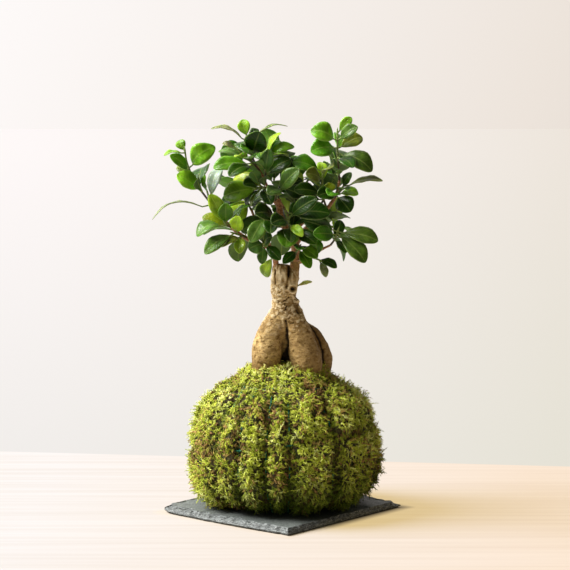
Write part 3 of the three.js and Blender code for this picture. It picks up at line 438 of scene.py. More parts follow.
class Curve:
    """A centripetal Catmull-Rom curve, measured along its length in the same steps as the solids' curves."""

    STEPS = 200

    def __init__(self, path, closed=False):
        self.points = np.array(path, dtype=float)
        self.closed = closed
        marks = np.array([self.point(step / self.STEPS) for step in range(self.STEPS + 1)])
        runs = np.linalg.norm(np.diff(marks, axis=0), axis=1)
        self.lengths = np.concatenate([[0], np.cumsum(runs)])

    def point(self, t):
        points = self.points
        count = len(points)
        place = (count - (0 if self.closed else 1)) * t
        index = int(math.floor(place))
        weight = place - index
        if not self.closed and weight == 0 and index == count - 1:
            index, weight = count - 2, 1
        before = points[(index - 1) % count] if self.closed or index > 0 else 2 * points[0] - points[1]
        start = points[index % count]
        end = points[(index + 1) % count]
        inside = self.closed or index + 2 < count
        after = points[(index + 2) % count] if inside else 2 * points[-1] - points[-2]
        d0, d1, d2 = (
            float(((b - a) ** 2).sum()) ** 0.25 for a, b in ((before, start), (start, end), (end, after))
        )
        d1 = d1 if d1 >= 1e-4 else 1.0
        d0 = d0 if d0 >= 1e-4 else d1
        d2 = d2 if d2 >= 1e-4 else d1
        t1 = ((start - before) / d0 - (end - before) / (d0 + d1) + (end - start) / d1) * d1
        t2 = ((end - start) / d1 - (after - start) / (d1 + d2) + (after - end) / d2) * d1
        c2 = -3 * start + 3 * end - 2 * t1 - t2
        c3 = 2 * start - 2 * end + t1 + t2
        return start + t1 * weight + c2 * weight**2 + c3 * weight**3

    def share(self, along):
        """The curve's own parameter at a share of its length."""
        target = along * self.lengths[-1]
        index = int(np.searchsorted(self.lengths, target, side="right")) - 1
        if index >= self.STEPS:
            return 1.0
        run = self.lengths[index + 1] - self.lengths[index]
        return (index + (target - self.lengths[index]) / run) / self.STEPS

    def at(self, along):
        return self.point(self.share(along))

    def even(self, count):
        """Points after each of a count of equal steps along it, and at its start."""
        return np.array([self.at(step / count) for step in range(count + 1)])

    def tangent(self, along):
        t = self.share(along)
        return unit(self.point(min(t + 1e-4, 1)) - self.point(max(t - 1e-4, 0)))

    def length(self):
        return self.lengths[-1]


def stand(name, data):
    """A new object in the scene."""
    thing = bpy.data.objects.new(name, data)
    bpy.context.scene.collection.objects.link(thing)
    return thing


def mesh_of(name, points, faces):
    """A smooth mesh object from millimetre points and a list of faces."""
    mesh = bpy.data.meshes.new(name)
    mesh.from_pydata((np.asarray(points) * MM).tolist(), [], [tuple(map(int, face)) for face in faces])
    mesh.polygons.foreach_set("use_smooth", [True] * len(mesh.polygons))
    mesh.update()
    return stand(name, mesh)


def mark(piece, name, kind, values):
    """Writes one value for each point of the mesh, which its material reads by name."""
    attribute = piece.data.attributes.new(name, kind, "POINT")
    field = {"FLOAT": "value", "FLOAT_VECTOR": "vector", "FLOAT_COLOR": "color"}[kind]
    attribute.data.foreach_set(field, np.asarray(values, dtype=np.float32).ravel())


def dress(piece, slot, nodes, *materials):
    """Gives a piece its materials and its body, and hides the nodes that it stands for. The slot is not used.
    """
    for material in materials:
        piece.data.materials.append(material)
    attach(piece, "root")
    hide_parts(*nodes)


def loft(rings):
    """Points and faces of a closed skin over rings of equal point count."""
    count = len(rings[0])
    faces = []
    for row in range(len(rings) - 1):
        for i in range(count):
            a, b = row * count + i, row * count + (i + 1) % count
            faces.append((a, b, b + count, a + count))
    last = (len(rings) - 1) * count
    faces.append(tuple(range(count - 1, -1, -1)))
    faces.append(tuple(range(last, last + count)))
    return np.concatenate(rings), faces


def tube(centres, radii, sides):
    """Points and faces of a closed round tube through centres, with rings that don't twist."""
    centres = np.asarray(centres, dtype=float)
    radii = np.broadcast_to(np.asarray(radii, dtype=float), (len(centres),))
    tangents = unit(np.gradient(centres, axis=0))
    normal = unit(np.cross(tangents[0], UP if abs(tangents[0][2]) < 0.9 else VIEWER))
    turns = circle(sides)
    rings = []
    for centre, tangent, radius in zip(centres, tangents, radii):
        normal = unit(normal - tangent * normal.dot(tangent))
        other = np.cross(tangent, normal)
        ring = np.outer(np.cos(turns), normal) + np.outer(np.sin(turns), other)
        rings.append(centre + ring * radius)
    return loft(rings)


def joined(parts):
    """One set of points and faces from several."""
    points, faces, shift = [], [], 0
    for some_points, some_faces in parts:
        points.append(some_points)
        faces.extend(tuple(i + shift for i in face) for face in some_faces)
        shift += len(some_points)
    return np.concatenate(points), faces


def read_out(items, field):
    """The three numbers that each of a mesh's items has in a field."""
    flat = np.empty(3 * len(items), dtype=np.float32)
    items.foreach_get(field, flat)
    return flat.reshape(-1, 3).astype(float)


def set_coordinates(mesh, points):
    mesh.vertices.foreach_set("co", np.asarray(points, dtype=np.float32).ravel())
    mesh.update()


def fuse(piece, voxel, rounds):
    """Joins a piece's overlapping skins into one fine skin of even cells, and evens it out in rounds."""
    modifier = piece.modifiers.new("fuse", "REMESH")
    modifier.mode = "VOXEL"
    modifier.voxel_size = voxel * MM
    evaluated = piece.evaluated_get(bpy.context.evaluated_depsgraph_get())
    mesh = bpy.data.meshes.new_from_object(evaluated)
    piece.modifiers.clear()
    piece.data = mesh
    edges = np.empty(2 * len(mesh.edges), dtype=np.int32)
    mesh.edges.foreach_get("vertices", edges)
    a, b = edges.reshape(-1, 2).T
    points = read_out(mesh.vertices, "co")
    degree = np.bincount(a, minlength=len(points)) + np.bincount(b, minlength=len(points))
    for _ in range(rounds):
        sums = np.zeros_like(points)
        np.add.at(sums, a, points[b])
        np.add.at(sums, b, points[a])
        points = 0.5 * points + 0.5 * sums / degree[:, None]
    mesh.polygons.foreach_set("use_smooth", [True] * len(mesh.polygons))
    set_coordinates(mesh, points)


def rough(points, size, seed, octaves=3):
    """Noise from about -1 to 1 at millimetre points, with lumps of that size."""
    shift = Vector((seed * 17.3, seed * 5.1, seed * 9.7))
    return np.array(
        [noise.fractal(Vector(point) / size + shift, 1.0, 2.0, octaves) for point in points.tolist()]
    )


# Materials

MIX = "ShaderNodeMix"
FACTOR, A, B = 0, 6, 7  # its sockets for colours
COLOURS = {"out": 2, "data_type": "RGBA"}  # its output and setting for colours
MATH = "ShaderNodeMath"
RANGE = "ShaderNodeMapRange"
NOISE = "ShaderNodeTexNoise"
STRETCH = "ShaderNodeVectorMath"
BUMP = "ShaderNodeBump"
MARK = "ShaderNodeAttribute"

MOSS_TONES = (
    (0.0, "#8a6238"),  # dead
    (0.14, "#c69d62"),
    (0.27, "#c0a852"),
    (0.42, "#a3b22e"),
    (0.6, "#c6d23e"),
    (0.8, "#e2ea60"),
    (1.0, "#f2f796"),  # this year's tips
)

# Upper-face colours of the leaves, by the letters in SPRAYS
LEAF_TONES = {
    "p": "#8f9c6a",  # pale and narrow, seen nearly edge-on
    "y": "#8fbb2c",  # young
    "b": "#74a81f",  # bright
    "g": "#4f8a12",  # mid green
    "o": "#717c2a",  # olive
    "m": "#4e6c20",  # dull green of an older leaf
    "d": "#285204",  # dark, full grown
    "s": "#558032",  # painted sheen, a greyer green
    "l": "#a8c92c",  # lit from behind
    "w": "#eef39a",  # a pale new shoot
    "v": "#b3c6b4",  # painted reflection of the bright sky, pale silver
}
RULE_TONES = "dgdlg"  # and of those that stand by rule, in turn

VEIN_COUNT = 62.0  # side veins along a leaf, times two pi
VEIN_SLANT = 14.0  # how far forward they run

SLATE_SKEW = 0.085  # how much nearer each millimetre to the left lies than on a true square
FLOOR_BEHIND = 0.229  # metres from the axis back to the line where the floor's tone changes
FLOOR_SLANT = 0.139  # how far that line runs back for each metre to the left
FLOOR_EDGE = 0.004  # metres over which it changes there
FLOOR_FRONT = 1.7  # metres in front of the axis, from where the far floor's tones fan out
FLOOR_FAN = 0.145  # their spread to each side, for each metre
FLOOR_FADE = 1.35  # over 1 keeps more of it in the left-hand tone
FLOOR_NEARNESS = (0.51, 0.09)  # one over the metres from there, between which it pales
FLOOR_WARM = (-0.22, 0.24)  # metres to the right, between which the near floor turns warmer
FLOOR_GLOW = (0.75, 0.66, 0.45, 1)  # how much of its tone the floor gives off by itself
FLOOR_PAINT = (0.12, 0.168, 0.39, 1)  # and what it reflects
FLOOR_PLAIN = (0.477, 0.47, 0.55, 1)  # the unlit floor's tone, close round the slate
FLOOR_CONTACT = (0.0745, 0.0865)  # metres from the slate's middle, between which the glow sets in
FLOOR_CORNER = -0.749  # the same for the slate's blunt left corner, for each metre to the right


def linear(code):
    """An sRGB hex colour as the linear red, green, blue and alpha that shaders take."""
    parts = [int(code[i : i + 2], 16) / 255 for i in (1, 3, 5)]
    return (*(c / 12.92 if c <= 0.04045 else ((c + 0.055) / 1.055) ** 2.4 for c in parts), 1.0)


def lumps(size):
    """The scale of a noise whose lumps are that many millimetres across."""
    return 1 / (size * MM)


def surface(name, **constants):
    """A new material, its tree, its shader's sockets with the constant ones set, and places on the object."""
    material = bpy.data.materials.new(name)
    material.use_nodes = True
    inputs = material.node_tree.nodes["Principled BSDF"].inputs
    for socket, value in constants.items():
        inputs[socket.replace("_", " ")].default_value = value
    return material, material.node_tree, inputs, add(material.node_tree, "ShaderNodeTexCoord", out="Object")


def add(tree, kind, sockets=(), out=0, **settings):
    """Adds a node with its settings, sets or links its sockets by name or in order, and returns an output."""
    node = tree.nodes.new(kind)
    for name, value in settings.items():
        setattr(node, name, value)
    for name, value in sockets.items() if isinstance(sockets, dict) else enumerate(sockets):
        if isinstance(value, bpy.types.NodeSocket):
            tree.links.new(value, node.inputs[name])
        else:
            node.inputs[name].default_value = value
    return node.outputs[out]


def split_slate():
    """Slate split by hand: a dull dark grey-green face, and paler glittering steps on its chipped edge."""
    material, tree, inputs, place = surface("split_slate")
    chipped = add(tree, MARK, out="Fac", attribute_name="chipped")
    clouds = add(tree, NOISE, {"Vector": place, "Scale": lumps(38), "Detail": 4})
    clouds = add(tree, RANGE, (clouds, 0.3, 0.7))
    grit = add(tree, NOISE, {"Vector": place, "Scale": lumps(1.3), "Detail": 4})
    flat = add(tree, STRETCH, (place, (1, 1, 5)), operation="MULTIPLY")
    flakes = add(tree, NOISE, {"Vector": flat, "Scale": lumps(4), "Detail": 3})
    face = add(tree, MIX, {FACTOR: clouds, A: linear("#474d4b"), B: linear("#5b605d")}, **COLOURS)
    glints = add(tree, RANGE, (grit, 0.45, 0.75))
    face = add(tree, MIX, {FACTOR: glints, A: face, B: linear("#777d7a")}, **COLOURS)
    steps = add(tree, RANGE, (flakes, 0.35, 0.65))
    broken = add(tree, MIX, {FACTOR: steps, A: linear("#171c1a"), B: linear("#6a7070")}, **COLOURS)
    sparks = add(tree, RANGE, (grit, 0.56, 0.78))
    broken = add(tree, MIX, {FACTOR: sparks, A: broken, B: linear("#a6abaa")}, **COLOURS)
    colour = add(tree, MIX, {FACTOR: chipped, A: face, B: broken}, **COLOURS)
    tree.links.new(colour, inputs["Base Color"])
    tree.links.new(add(tree, RANGE, (grit, 0, 1, 0.75, 0.42)), inputs["Roughness"])
    height = add(tree, MATH, (flakes, 0.8, grit), operation="MULTIPLY_ADD")
    tree.links.new(add(tree, BUMP, {"Height": height, "Distance": 0.35 * MM}), inputs["Normal"])
    return material


def damp_soil():
    """Damp peat and clay, dark and without shine."""
    material, tree, inputs, place = surface("damp_soil", Roughness=0.95)
    crumbs = add(tree, NOISE, {"Vector": place, "Scale": lumps(2.5), "Detail": 5})
    colour = add(tree, MIX, {FACTOR: crumbs, A: linear("#1f150d"), B: linear("#4a3626")}, **COLOURS)
    tree.links.new(colour, inputs["Base Color"])
    tree.links.new(add(tree, BUMP, {"Height": crumbs, "Distance": 0.8 * MM}), inputs["Normal"])
    return material


def moss_bed():
    """The shaded inside of the moss sheet: dead brown stems and deep green."""
    material, tree, inputs, place = surface("moss_bed", Roughness=0.95)
    tangle = add(tree, NOISE, {"Vector": place, "Scale": lumps(2.2), "Detail": 5})
    patches = add(tree, NOISE, {"Vector": place, "Scale": lumps(14), "Detail": 3})
    patches = add(tree, RANGE, (patches, 0.4, 0.6))
    colour = add(tree, MIX, {FACTOR: patches, A: linear("#2c3010"), B: linear("#3a2a16")}, **COLOURS)
    shoots = add(tree, RANGE, (tangle, 0.5, 0.8))
    colour = add(tree, MIX, {FACTOR: shoots, A: colour, B: linear("#5a6320")}, **COLOURS)
    tree.links.new(colour, inputs["Base Color"])
    tree.links.new(add(tree, BUMP, {"Height": tangle, "Distance": 1.6 * MM}), inputs["Normal"])
    return material


def living_moss():
    """Live sheet moss: fine soft shoots without shine, brown and darker lower down, partly old stem and
    partly painted shade, and yellow-green at the tips.
    """
    material, tree, inputs, _ = surface("living_moss", Roughness=0.7, Specular_IOR_Level=0.25)
    tone = add(tree, MARK, out="Fac", attribute_name="moss_tone")
    tip = add(tree, MARK, out="Fac", attribute_name="moss_tip")
    fresh = add(tree, "ShaderNodeValToRGB", {"Fac": tone})
    bands = fresh.node.color_ramp.elements
    while len(bands) < len(MOSS_TONES):
        bands.new(0.5)
    for band, (position, code) in zip(bands, MOSS_TONES):
        band.position = position
        band.color = linear(code)
    # A frond is darker lower down: partly its old brown stem, partly painted shade within the moss
    shade = {FACTOR: 1.0, A: fresh, B: linear("#747c3a")}
    old = add(tree, MIX, shade, **COLOURS, blend_type="MULTIPLY")
    rise = add(tree, RANGE, (tip, -0.1, 0.5))
    colour = add(tree, MIX, {FACTOR: rise, A: old, B: fresh}, **COLOURS)
    # Painted shade: darker low on the ball, on its right and in the thread's grooves
    shaded_colour = {FACTOR: add(tree, MARK, out="Fac", attribute_name="moss_painted_shade"), A: colour, B: linear("#66782a")}
    colour = add(tree, MIX, shaded_colour, **COLOURS, blend_type="MULTIPLY")
    tree.links.new(colour, inputs["Base Color"])
    return material


def twisted_thread():
    """Twisted polyester thread: teal green, with a slight silky shine on each turn of its plies."""
    material, tree, inputs, place = surface("twisted_thread", Roughness=0.6, Specular_IOR_Level=0.2)
    # The real plies turn every 0.6 mm and are drawn 1.6 mm long so that they show
    plies = add(tree, NOISE, {"Vector": place, "Scale": lumps(1.6), "Detail": 1})
    plies = add(tree, RANGE, (plies, 0.35, 0.65))
    colour = add(tree, MIX, {FACTOR: plies, A: linear("#0f4230"), B: linear("#2a8262")}, **COLOURS)
    tree.links.new(colour, inputs["Base Color"])
    tree.links.new(add(tree, BUMP, {"Height": plies, "Distance": 0.2 * MM}), inputs["Normal"])
    return material


def ficus_bark():
    """Bark of swollen ficus roots: thin, tan and finely wrinkled, with dark cracks, pores and pale ridges,
    and painted shade in the cleft between the roots and on the right-hand side.
    """
    material, tree, inputs, place = surface("ficus_bark", Roughness=0.78, Specular_IOR_Level=0.2)
    dent_and_shade = add(tree, MARK, out="Fac", attribute_name="bark_dent_and_shade")
    stain_and_shade = add(tree, MARK, out="Fac", attribute_name="bark_stain_and_shade")
    clouds = add(tree, NOISE, {"Vector": place, "Scale": lumps(16), "Detail": 4})
    clouds = add(tree, RANGE, (clouds, 0.35, 0.65))
    level = add(tree, STRETCH, (place, (1, 1, 2.2)), operation="MULTIPLY")
    wrinkles = add(tree, NOISE, {"Vector": level, "Scale": lumps(3.5), "Detail": 5})
    pores = add(tree, NOISE, {"Vector": level, "Scale": lumps(1.5), "Detail": 2})
    colour = add(tree, MIX, {FACTOR: clouds, A: linear("#917343"), B: linear("#c8a970")}, **COLOURS)
    marks = [
        (add(tree, RANGE, (wrinkles, 0.46, 0.78)), "#72562c"),
        (add(tree, RANGE, (pores, 0.56, 0.74)), "#5f441d"),
        # stains, and painted shade on the right-hand side
        (stain_and_shade, "#6b5022"),
        # dark in cracks and pits, and painted shade in the cleft between the roots
        (add(tree, RANGE, (dent_and_shade, -0.1, -1)), "#2b2010"),
        (add(tree, RANGE, (dent_and_shade, 0.2, 1.2)), "#e3cfa6"),
    ]
    for share, code in marks:
        colour = add(tree, MIX, {FACTOR: share, A: colour, B: linear(code)}, **COLOURS)
    tree.links.new(colour, inputs["Base Color"])
    height = add(tree, MATH, (pores, -0.5, wrinkles), operation="MULTIPLY_ADD")
    tree.links.new(add(tree, BUMP, {"Height": height, "Distance": 0.9 * MM}), inputs["Normal"])
    return material


def young_wood():
    """Twigs and leaf stalks: ruddy bark on thick limbs, dark on the twigs, green and shiny at the leaves."""
    material, tree, inputs, place = surface("young_wood", Roughness=0.5)
    green = add(tree, MARK, out="Fac", attribute_name="wood_green")
    streaks = add(tree, NOISE, {"Vector": place, "Scale": lumps(1.2), "Detail": 3})
    streaks = add(tree, RANGE, (streaks, 0.35, 0.65))
    brown = add(tree, MIX, {FACTOR: streaks, A: linear("#2b1f10"), B: linear("#5d482d")}, **COLOURS)
    ruddy = add(tree, MIX, {FACTOR: streaks, A: linear("#704420"), B: linear("#b8814c")}, **COLOURS)
    brown = add(tree, MIX, {FACTOR: add(tree, RANGE, (green, 0, -1)), A: brown, B: ruddy}, **COLOURS)
    fresh = add(tree, MIX, {FACTOR: streaks, A: linear("#5c7a2c"), B: linear("#93a850")}, **COLOURS)
    colour = add(tree, MIX, {FACTOR: green, A: brown, B: fresh}, **COLOURS)
    tree.links.new(colour, inputs["Base Color"])
    tree.links.new(add(tree, BUMP, {"Height": streaks, "Distance": 0.25 * MM}), inputs["Normal"])
    return material


def ficus_leaf():
    """Ficus leaves: a waxy dark green face with a pale midrib and faint side veins, and a dull paler back."""
    material, tree, inputs, place = surface(
        "ficus_leaf",
        Specular_IOR_Level=0.2,
        Subsurface_Weight=0.4,
        Subsurface_Radius=(0.6, 1.0, 0.15),
        Subsurface_Scale=MM,
    )
    tone = add(tree, MARK, out="Color", attribute_name="leaf_tone")
    spot = add(tree, MARK, out="Vector", attribute_name="leaf_place")
    share, across, side = add(tree, "ShaderNodeSeparateXYZ", (spot,)).node.outputs
    reach = add(tree, MATH, (across,), operation="ABSOLUTE")
    back = add(tree, RANGE, (side, 0.4, -0.4))
    # Side veins leave the midrib every 3 mm or so and run forward
    run = add(tree, MATH, (share, VEIN_COUNT), operation="MULTIPLY")
    run = add(tree, MATH, (reach, -VEIN_SLANT, run), operation="MULTIPLY_ADD")
    veins = add(tree, RANGE, (add(tree, MATH, (run,), operation="SINE"), 0.6, 1))
    midrib = add(tree, RANGE, (reach, 0.1, 0.02))
    margin = add(tree, RANGE, (reach, 0.84, 1))
    clouds = add(tree, NOISE, {"Vector": place, "Scale": lumps(9), "Detail": 3})
    clouds = add(tree, RANGE, (clouds, 0.35, 0.65))
    shade = {FACTOR: 1.0, A: tone, B: linear("#a9b596")}
    deep = add(tree, MIX, shade, **COLOURS, blend_type="MULTIPLY")
    pale = add(tree, MIX, {FACTOR: 0.35, A: tone, B: linear("#b9c873")}, **COLOURS)
    face = add(tree, MIX, {FACTOR: clouds, A: deep, B: tone}, **COLOURS)
    for part, strength in ((veins, 0.1), (midrib, 0.5), (margin, 0.55)):
        amount = add(tree, MATH, (part, strength), operation="MULTIPLY")
        face = add(tree, MIX, {FACTOR: amount, A: face, B: pale}, **COLOURS)
    dull = add(tree, MIX, {FACTOR: 0.3, A: tone, B: linear("#8aa06c")}, **COLOURS)
    dull = add(tree, MIX, {FACTOR: midrib, A: dull, B: pale}, **COLOURS)
    colour = add(tree, MIX, {FACTOR: back, A: face, B: dull}, **COLOURS)
    tree.links.new(colour, inputs["Base Color"])
    tree.links.new(add(tree, RANGE, (back, 0, 1, 0.28, 0.55)), inputs["Roughness"])
    height = add(tree, MATH, (veins, -0.5, clouds), operation="MULTIPLY_ADD")
    height = add(tree, MATH, (midrib, -0.8, height), operation="MULTIPLY_ADD")
    tree.links.new(add(tree, BUMP, {"Height": height, "Distance": 0.12 * MM}), inputs["Normal"])
    return material


def pale_floor():
    """Matt paint: a warm pale floor with faint grain, near white further back."""
    dull = {"Roughness": 1, "Specular_IOR_Level": 0, "Emission_Strength": 1}
    material, tree, inputs, place = surface("pale_floor", **dull)
    x, y, _ = add(tree, "ShaderNodeSeparateXYZ", (place,)).node.outputs
    drawn = add(tree, STRETCH, (place, (1, 40, 40)), operation="MULTIPLY")
    grain = add(tree, NOISE, {"Vector": drawn, "Scale": lumps(360), "Detail": 3})
    grain = add(tree, RANGE, (grain, 0.3, 0.7))
    warm = add(tree, RANGE, (x, *FLOOR_WARM))
    near = add(tree, MIX, {FACTOR: warm, A: linear("#fff8de"), B: linear("#fce7bf")}, **COLOURS)
    dim = {FACTOR: 1.0, A: near, B: linear("#f7f4f0")}
    dim = add(tree, MIX, dim, **COLOURS, blend_type="MULTIPLY")
    near = add(tree, MIX, {FACTOR: grain, A: dim, B: near}, **COLOURS)
    line = add(tree, MATH, (x, FLOOR_SLANT, y), operation="MULTIPLY_ADD")
    far = add(tree, RANGE, (line, FLOOR_BEHIND, FLOOR_BEHIND + FLOOR_EDGE))
    # Painted light on the far floor: brighter on the left than on the right and paler further back, as the
    # room's light falls
    reach = add(tree, MATH, (y, FLOOR_FRONT), operation="ADD")
    shade = add(tree, MATH, (x, reach), operation="DIVIDE")
    shade = add(tree, RANGE, (shade, -FLOOR_FAN, FLOOR_FAN))
    shade = add(tree, MATH, (shade, FLOOR_FADE), operation="POWER")
    distance = add(tree, MATH, (1.0, reach), operation="DIVIDE")
    distance = add(tree, RANGE, (distance, *FLOOR_NEARNESS))
    back = add(tree, MIX, {FACTOR: shade, A: linear("#eee9d0"), B: linear("#e3debe")}, **COLOURS)
    last = add(tree, MIX, {FACTOR: shade, A: linear("#fbf4dc"), B: linear("#eae1c3")}, **COLOURS)
    back = add(tree, MIX, {FACTOR: distance, A: back, B: last}, **COLOURS)
    tone = add(tree, MIX, {FACTOR: far, A: near, B: back}, **COLOURS)
    # Lit from within as well, so that shadows on it stay pale, except close round the slate
    left = add(tree, MATH, (x, 0.0), operation="MINIMUM")
    skew = add(tree, MATH, (left, -SLATE_SKEW, y), operation="MULTIPLY_ADD")
    square = add(tree, "ShaderNodeCombineXYZ", (x, skew))
    away = add(tree, MATH, (x, FLOOR_CORNER), operation="MULTIPLY")
    for turn in (math.radians(TILE_TURN), math.radians(TILE_TURN + 90)):
        across = add(tree, STRETCH, (square, (math.cos(turn), math.sin(turn), 0)), 1, operation="DOT_PRODUCT")
        across = add(tree, MATH, (across,), operation="ABSOLUTE")
        away = add(tree, MATH, (away, across), operation="MAXIMUM")
    clear = add(tree, RANGE, (away, *FLOOR_CONTACT))
    part = add(tree, MIX, {FACTOR: clear, A: (0, 0, 0, 1), B: FLOOR_GLOW}, **COLOURS)
    glow = add(tree, MIX, {FACTOR: 1.0, A: tone, B: part}, **COLOURS, blend_type="MULTIPLY")
    part = add(tree, MIX, {FACTOR: clear, A: FLOOR_PLAIN, B: FLOOR_PAINT}, **COLOURS)
    paint = add(tree, MIX, {FACTOR: 1.0, A: tone, B: part}, **COLOURS, blend_type="MULTIPLY")
    tree.links.new(paint, inputs["Base Color"])
    tree.links.new(glow, inputs["Emission Color"])
    return material


SLATE = split_slate()
SOIL = damp_soil()
BED = moss_bed()
MOSS = living_moss()
THREAD = twisted_thread()
BARK = ficus_bark()
WOOD = young_wood()
LEAF = ficus_leaf()
FLOOR = pale_floor()


# Slate tile

SLATE_POINTS = 8  # points of the fine outline between two of the solid's
SLATE_RINGS = 18  # rings of the top face from its edge to its middle
SLATE_HEIGHTS = np.array([0, 0.5, 1.0, 1.7, 2.2, 2.9, 3.3, 3.9, 4.5, 5.0])  # rings of the chipped edge
# How far each side is worn back, how deep its chips are and how wide its lowest ledge is
SLATE_EDGES = [(2.4, 1.4, 0.4), (4, 2, 1), (3, 2, 1), (6, 2.6, 2)]
CORNER_WEAR = 0.15
# A hair larger than the plain solid, for the ragged leaves of its edge, and thicker
SLATE_SPREAD = 1.015
SLATE_TOP = 6.3
SLATE_FOOT = 0.9  # the height up to which the underside is broken away
SLATE_BELLY = 2.5  # how far the left front side stands out at its middle
BLUNT_REACH = 16  # length of both sides over which the left corner is worn away
BLUNT_HEIGHTS = [0, 3, 3.6, 5]
BLUNT_WEAR = [4.5, 0.8, 0, 3]  # how far at each of those heights
SPLIT_WAVE = 0.16  # rise of the soft waves of the top face
SPLIT_STEP = 0.5  # depth of the cleft leaves near its edge


def slate_insets():
    """Insets of the chipped edge at each layer, as the solid has them, and where along its side each is."""
    draw = seeded(SLATE_SEED)
    rows = []
    for side, (inset, broken, ledge) in enumerate(SLATE_EDGES):
        for step in range(TILE_STEPS):
            corner = CORNER_WEAR if step == 0 else 0
            chip = broken * draw()
            flake = TILE_FLAKE if side == 1 and step < 3 else 0
            top = inset * (0.65 + 0.7 * draw()) + flake + corner
            insets = [0.8 + corner, chip * 0.3 + corner, ledge + flake + chip * 0.8 + corner, top]
            rows.append((side, -TILE_SIDE / 2 + TILE_SIDE * step / TILE_STEPS, insets))
    return rows


def build_slate():
    rows = slate_insets()
    half = TILE_SIDE / 2
    corners = [[] for _ in SLATE_HEIGHTS]
    for index, (side, along, insets) in enumerate(rows):
        next_side, next_along, next_insets = rows[(index + 1) % len(rows)]
        if next_side != side:
            next_along = half
        angle = math.radians(TILE_TURN) - math.pi / 2 + side * math.pi / 2
        cos, sin = math.cos(angle), math.sin(angle)
        apart = side * 40  # each side has noise of its own
        for part in range(SLATE_POINTS):
            share = part / SLATE_POINTS
            place = along + (next_along - along) * share
            mixed = [a + (b - a) * share for a, b in zip(insets, next_insets)]
            blunt = smoothstep(place, half - BLUNT_REACH, half) if side == 2 else 0
            blunt = smoothstep(place, BLUNT_REACH - half, -half) if side == 3 else blunt
            free = smoothstep(half - abs(place), 0, 8)
            for row, height in enumerate(SLATE_HEIGHTS):
                inset = np.interp(height, TILE_LAYERS, mixed)
                if height < SLATE_FOOT:
                    inset = 2 + 1.2 * noise.noise(Vector((place / 11 + apart, 3.3, 0.5)))
                inset += blunt * np.interp(height, BLUNT_HEIGHTS, BLUNT_WEAR)
                # Scallops of broken slate, whose thin leaves each end on a line of their own
                scallop = noise.fractal(Vector((place / 6.5 + apart, height / 6, side * 9.1)), 1.0, 2.0, 2)
                splinter = noise.fractal(Vector((place / 2.6 + apart, row * 1.3, 5.0)), 1.0, 2.0, 3)
                ragged = (0.5 + 0.45 * inset) * scallop + 0.45 * splinter
                inset += free * ragged * (0.4 if height < SLATE_FOOT else 1)
                inset = max(inset, 0.1)
                x = half - inset
                if side == 3:
                    x += SLATE_BELLY * math.cos(math.pi * place / TILE_SIDE)
                limit = half - inset
                y = min(max(place, -limit), limit)
                corners[row].append([x * cos - y * sin, x * sin + y * cos, height])
    rings = [np.array(ring) for ring in corners]
    broken = [np.full(len(rings[0]), 0.3)] + [np.ones(len(rings[0]))] * (len(rings) - 1)
    rim = rings[-1]
    for step in range(1, SLATE_RINGS):
        share = 1 - (step / SLATE_RINGS) ** 1.4
        ring = rim.copy()
        ring[:, :2] *= share
        waves = rough(ring * [1, 1, 0], 22, 3)
        cleft = rough(ring * [1, 1, 0], 9, 5)
        away = (1 - share) * half
        sunk = SPLIT_STEP * smoothstep(cleft, 0.25, 0.35) * smoothstep(14 - away, 0, 10)
        ring[:, 2] = TILE_THICK - 0.12 + SPLIT_WAVE * waves - sunk
        rings.append(ring)
        broken.append(np.full(len(ring), max(0.0, 1 - away / 1.5)))
    points, faces = loft(rings)
    points *= [SLATE_SPREAD, SLATE_SPREAD, SLATE_TOP / TILE_THICK]
    points[:, 1] += SLATE_SKEW * np.minimum(points[:, 0], 0)
    tile = mesh_of("slate", points, faces)
    mark(tile, "chipped", "FLOAT", np.concatenate(broken))
    # The broken edge has flat faces, and the top is smooth
    upright = [polygon.normal.z >= 0.9 for polygon in tile.data.polygons]
    tile.data.polygons.foreach_set("use_smooth", upright)
    dress(tile, "slate", ["slate_tile"], SLATE)


# Moss ball

MOSS_SEED = 71
SKIN_FLOOR = BALL_FLOOR - 1.2  # no moss lies lower
TUFT_COUNT = 2400
BED_COLUMNS, BED_ROWS = 160, 72
BED_BOTTOM, BED_SPAN = -72, 158  # degrees down the ball's outline, and from there up to near its top
FROND_RANGE = (-64, 86)  # degrees of the ball's outline that carry fronds
FROND_ROOT = 0.6  # how deep a frond starts inside the bed
FROND_SLOPE = 44  # degrees at which it stands up in the middle of its tuft
FROND_SLOPES = (2, 80)  # and the least and the most anywhere
FROND_JOINT = 0.55  # share of its length where it bends over
LONG_SHARE = 0.01  # share of fronds half as long again
DEAD_SHARE = 0.09  # share of dead brown ones among the live
USUAL_TONE = 0.71  # place in the moss's tones, from dead to this year's tips
FROND_CLEAR = 0.4  # least gap between a frond and the slate
MOSS_FLANK = 3.2  # fuller below the waist than the plain solid
LOBE = ((-68, 14), 18, 5)  # the cushion that spreads over the slate on the left: x and z, reach and height

# Brown patches seen from the front: x, z, reach and strength
OLD_PATCHES = [
    (27, 113, 14, 0.5), (48, 100, 11, 0.35), (-8, 92, 13, 0.4), (-30, 96, 7, 0.35), (-36, 61, 10, 0.35),
    (-66, 54, 15, 0.42), (-66, 80, 9, 0.3), (-4, 42, 9, 0.3), (-41, 13, 10, 0.35), (39, 17, 9, 0.25),
    (82, 48, 13, 0.45),
]
# Patches of the brightest green: x, z, reach and strength
FRESH_PATCHES = [
    (8, 103, 12, 0.25), (-50, 96, 14, 0.2), (-20, 30, 12, 0.25), (28, 46, 20, 0.2), (-75, 60, 8, 0.2),
    (66, 86, 20, 0.2), (74, 62, 14, 0.15),
]


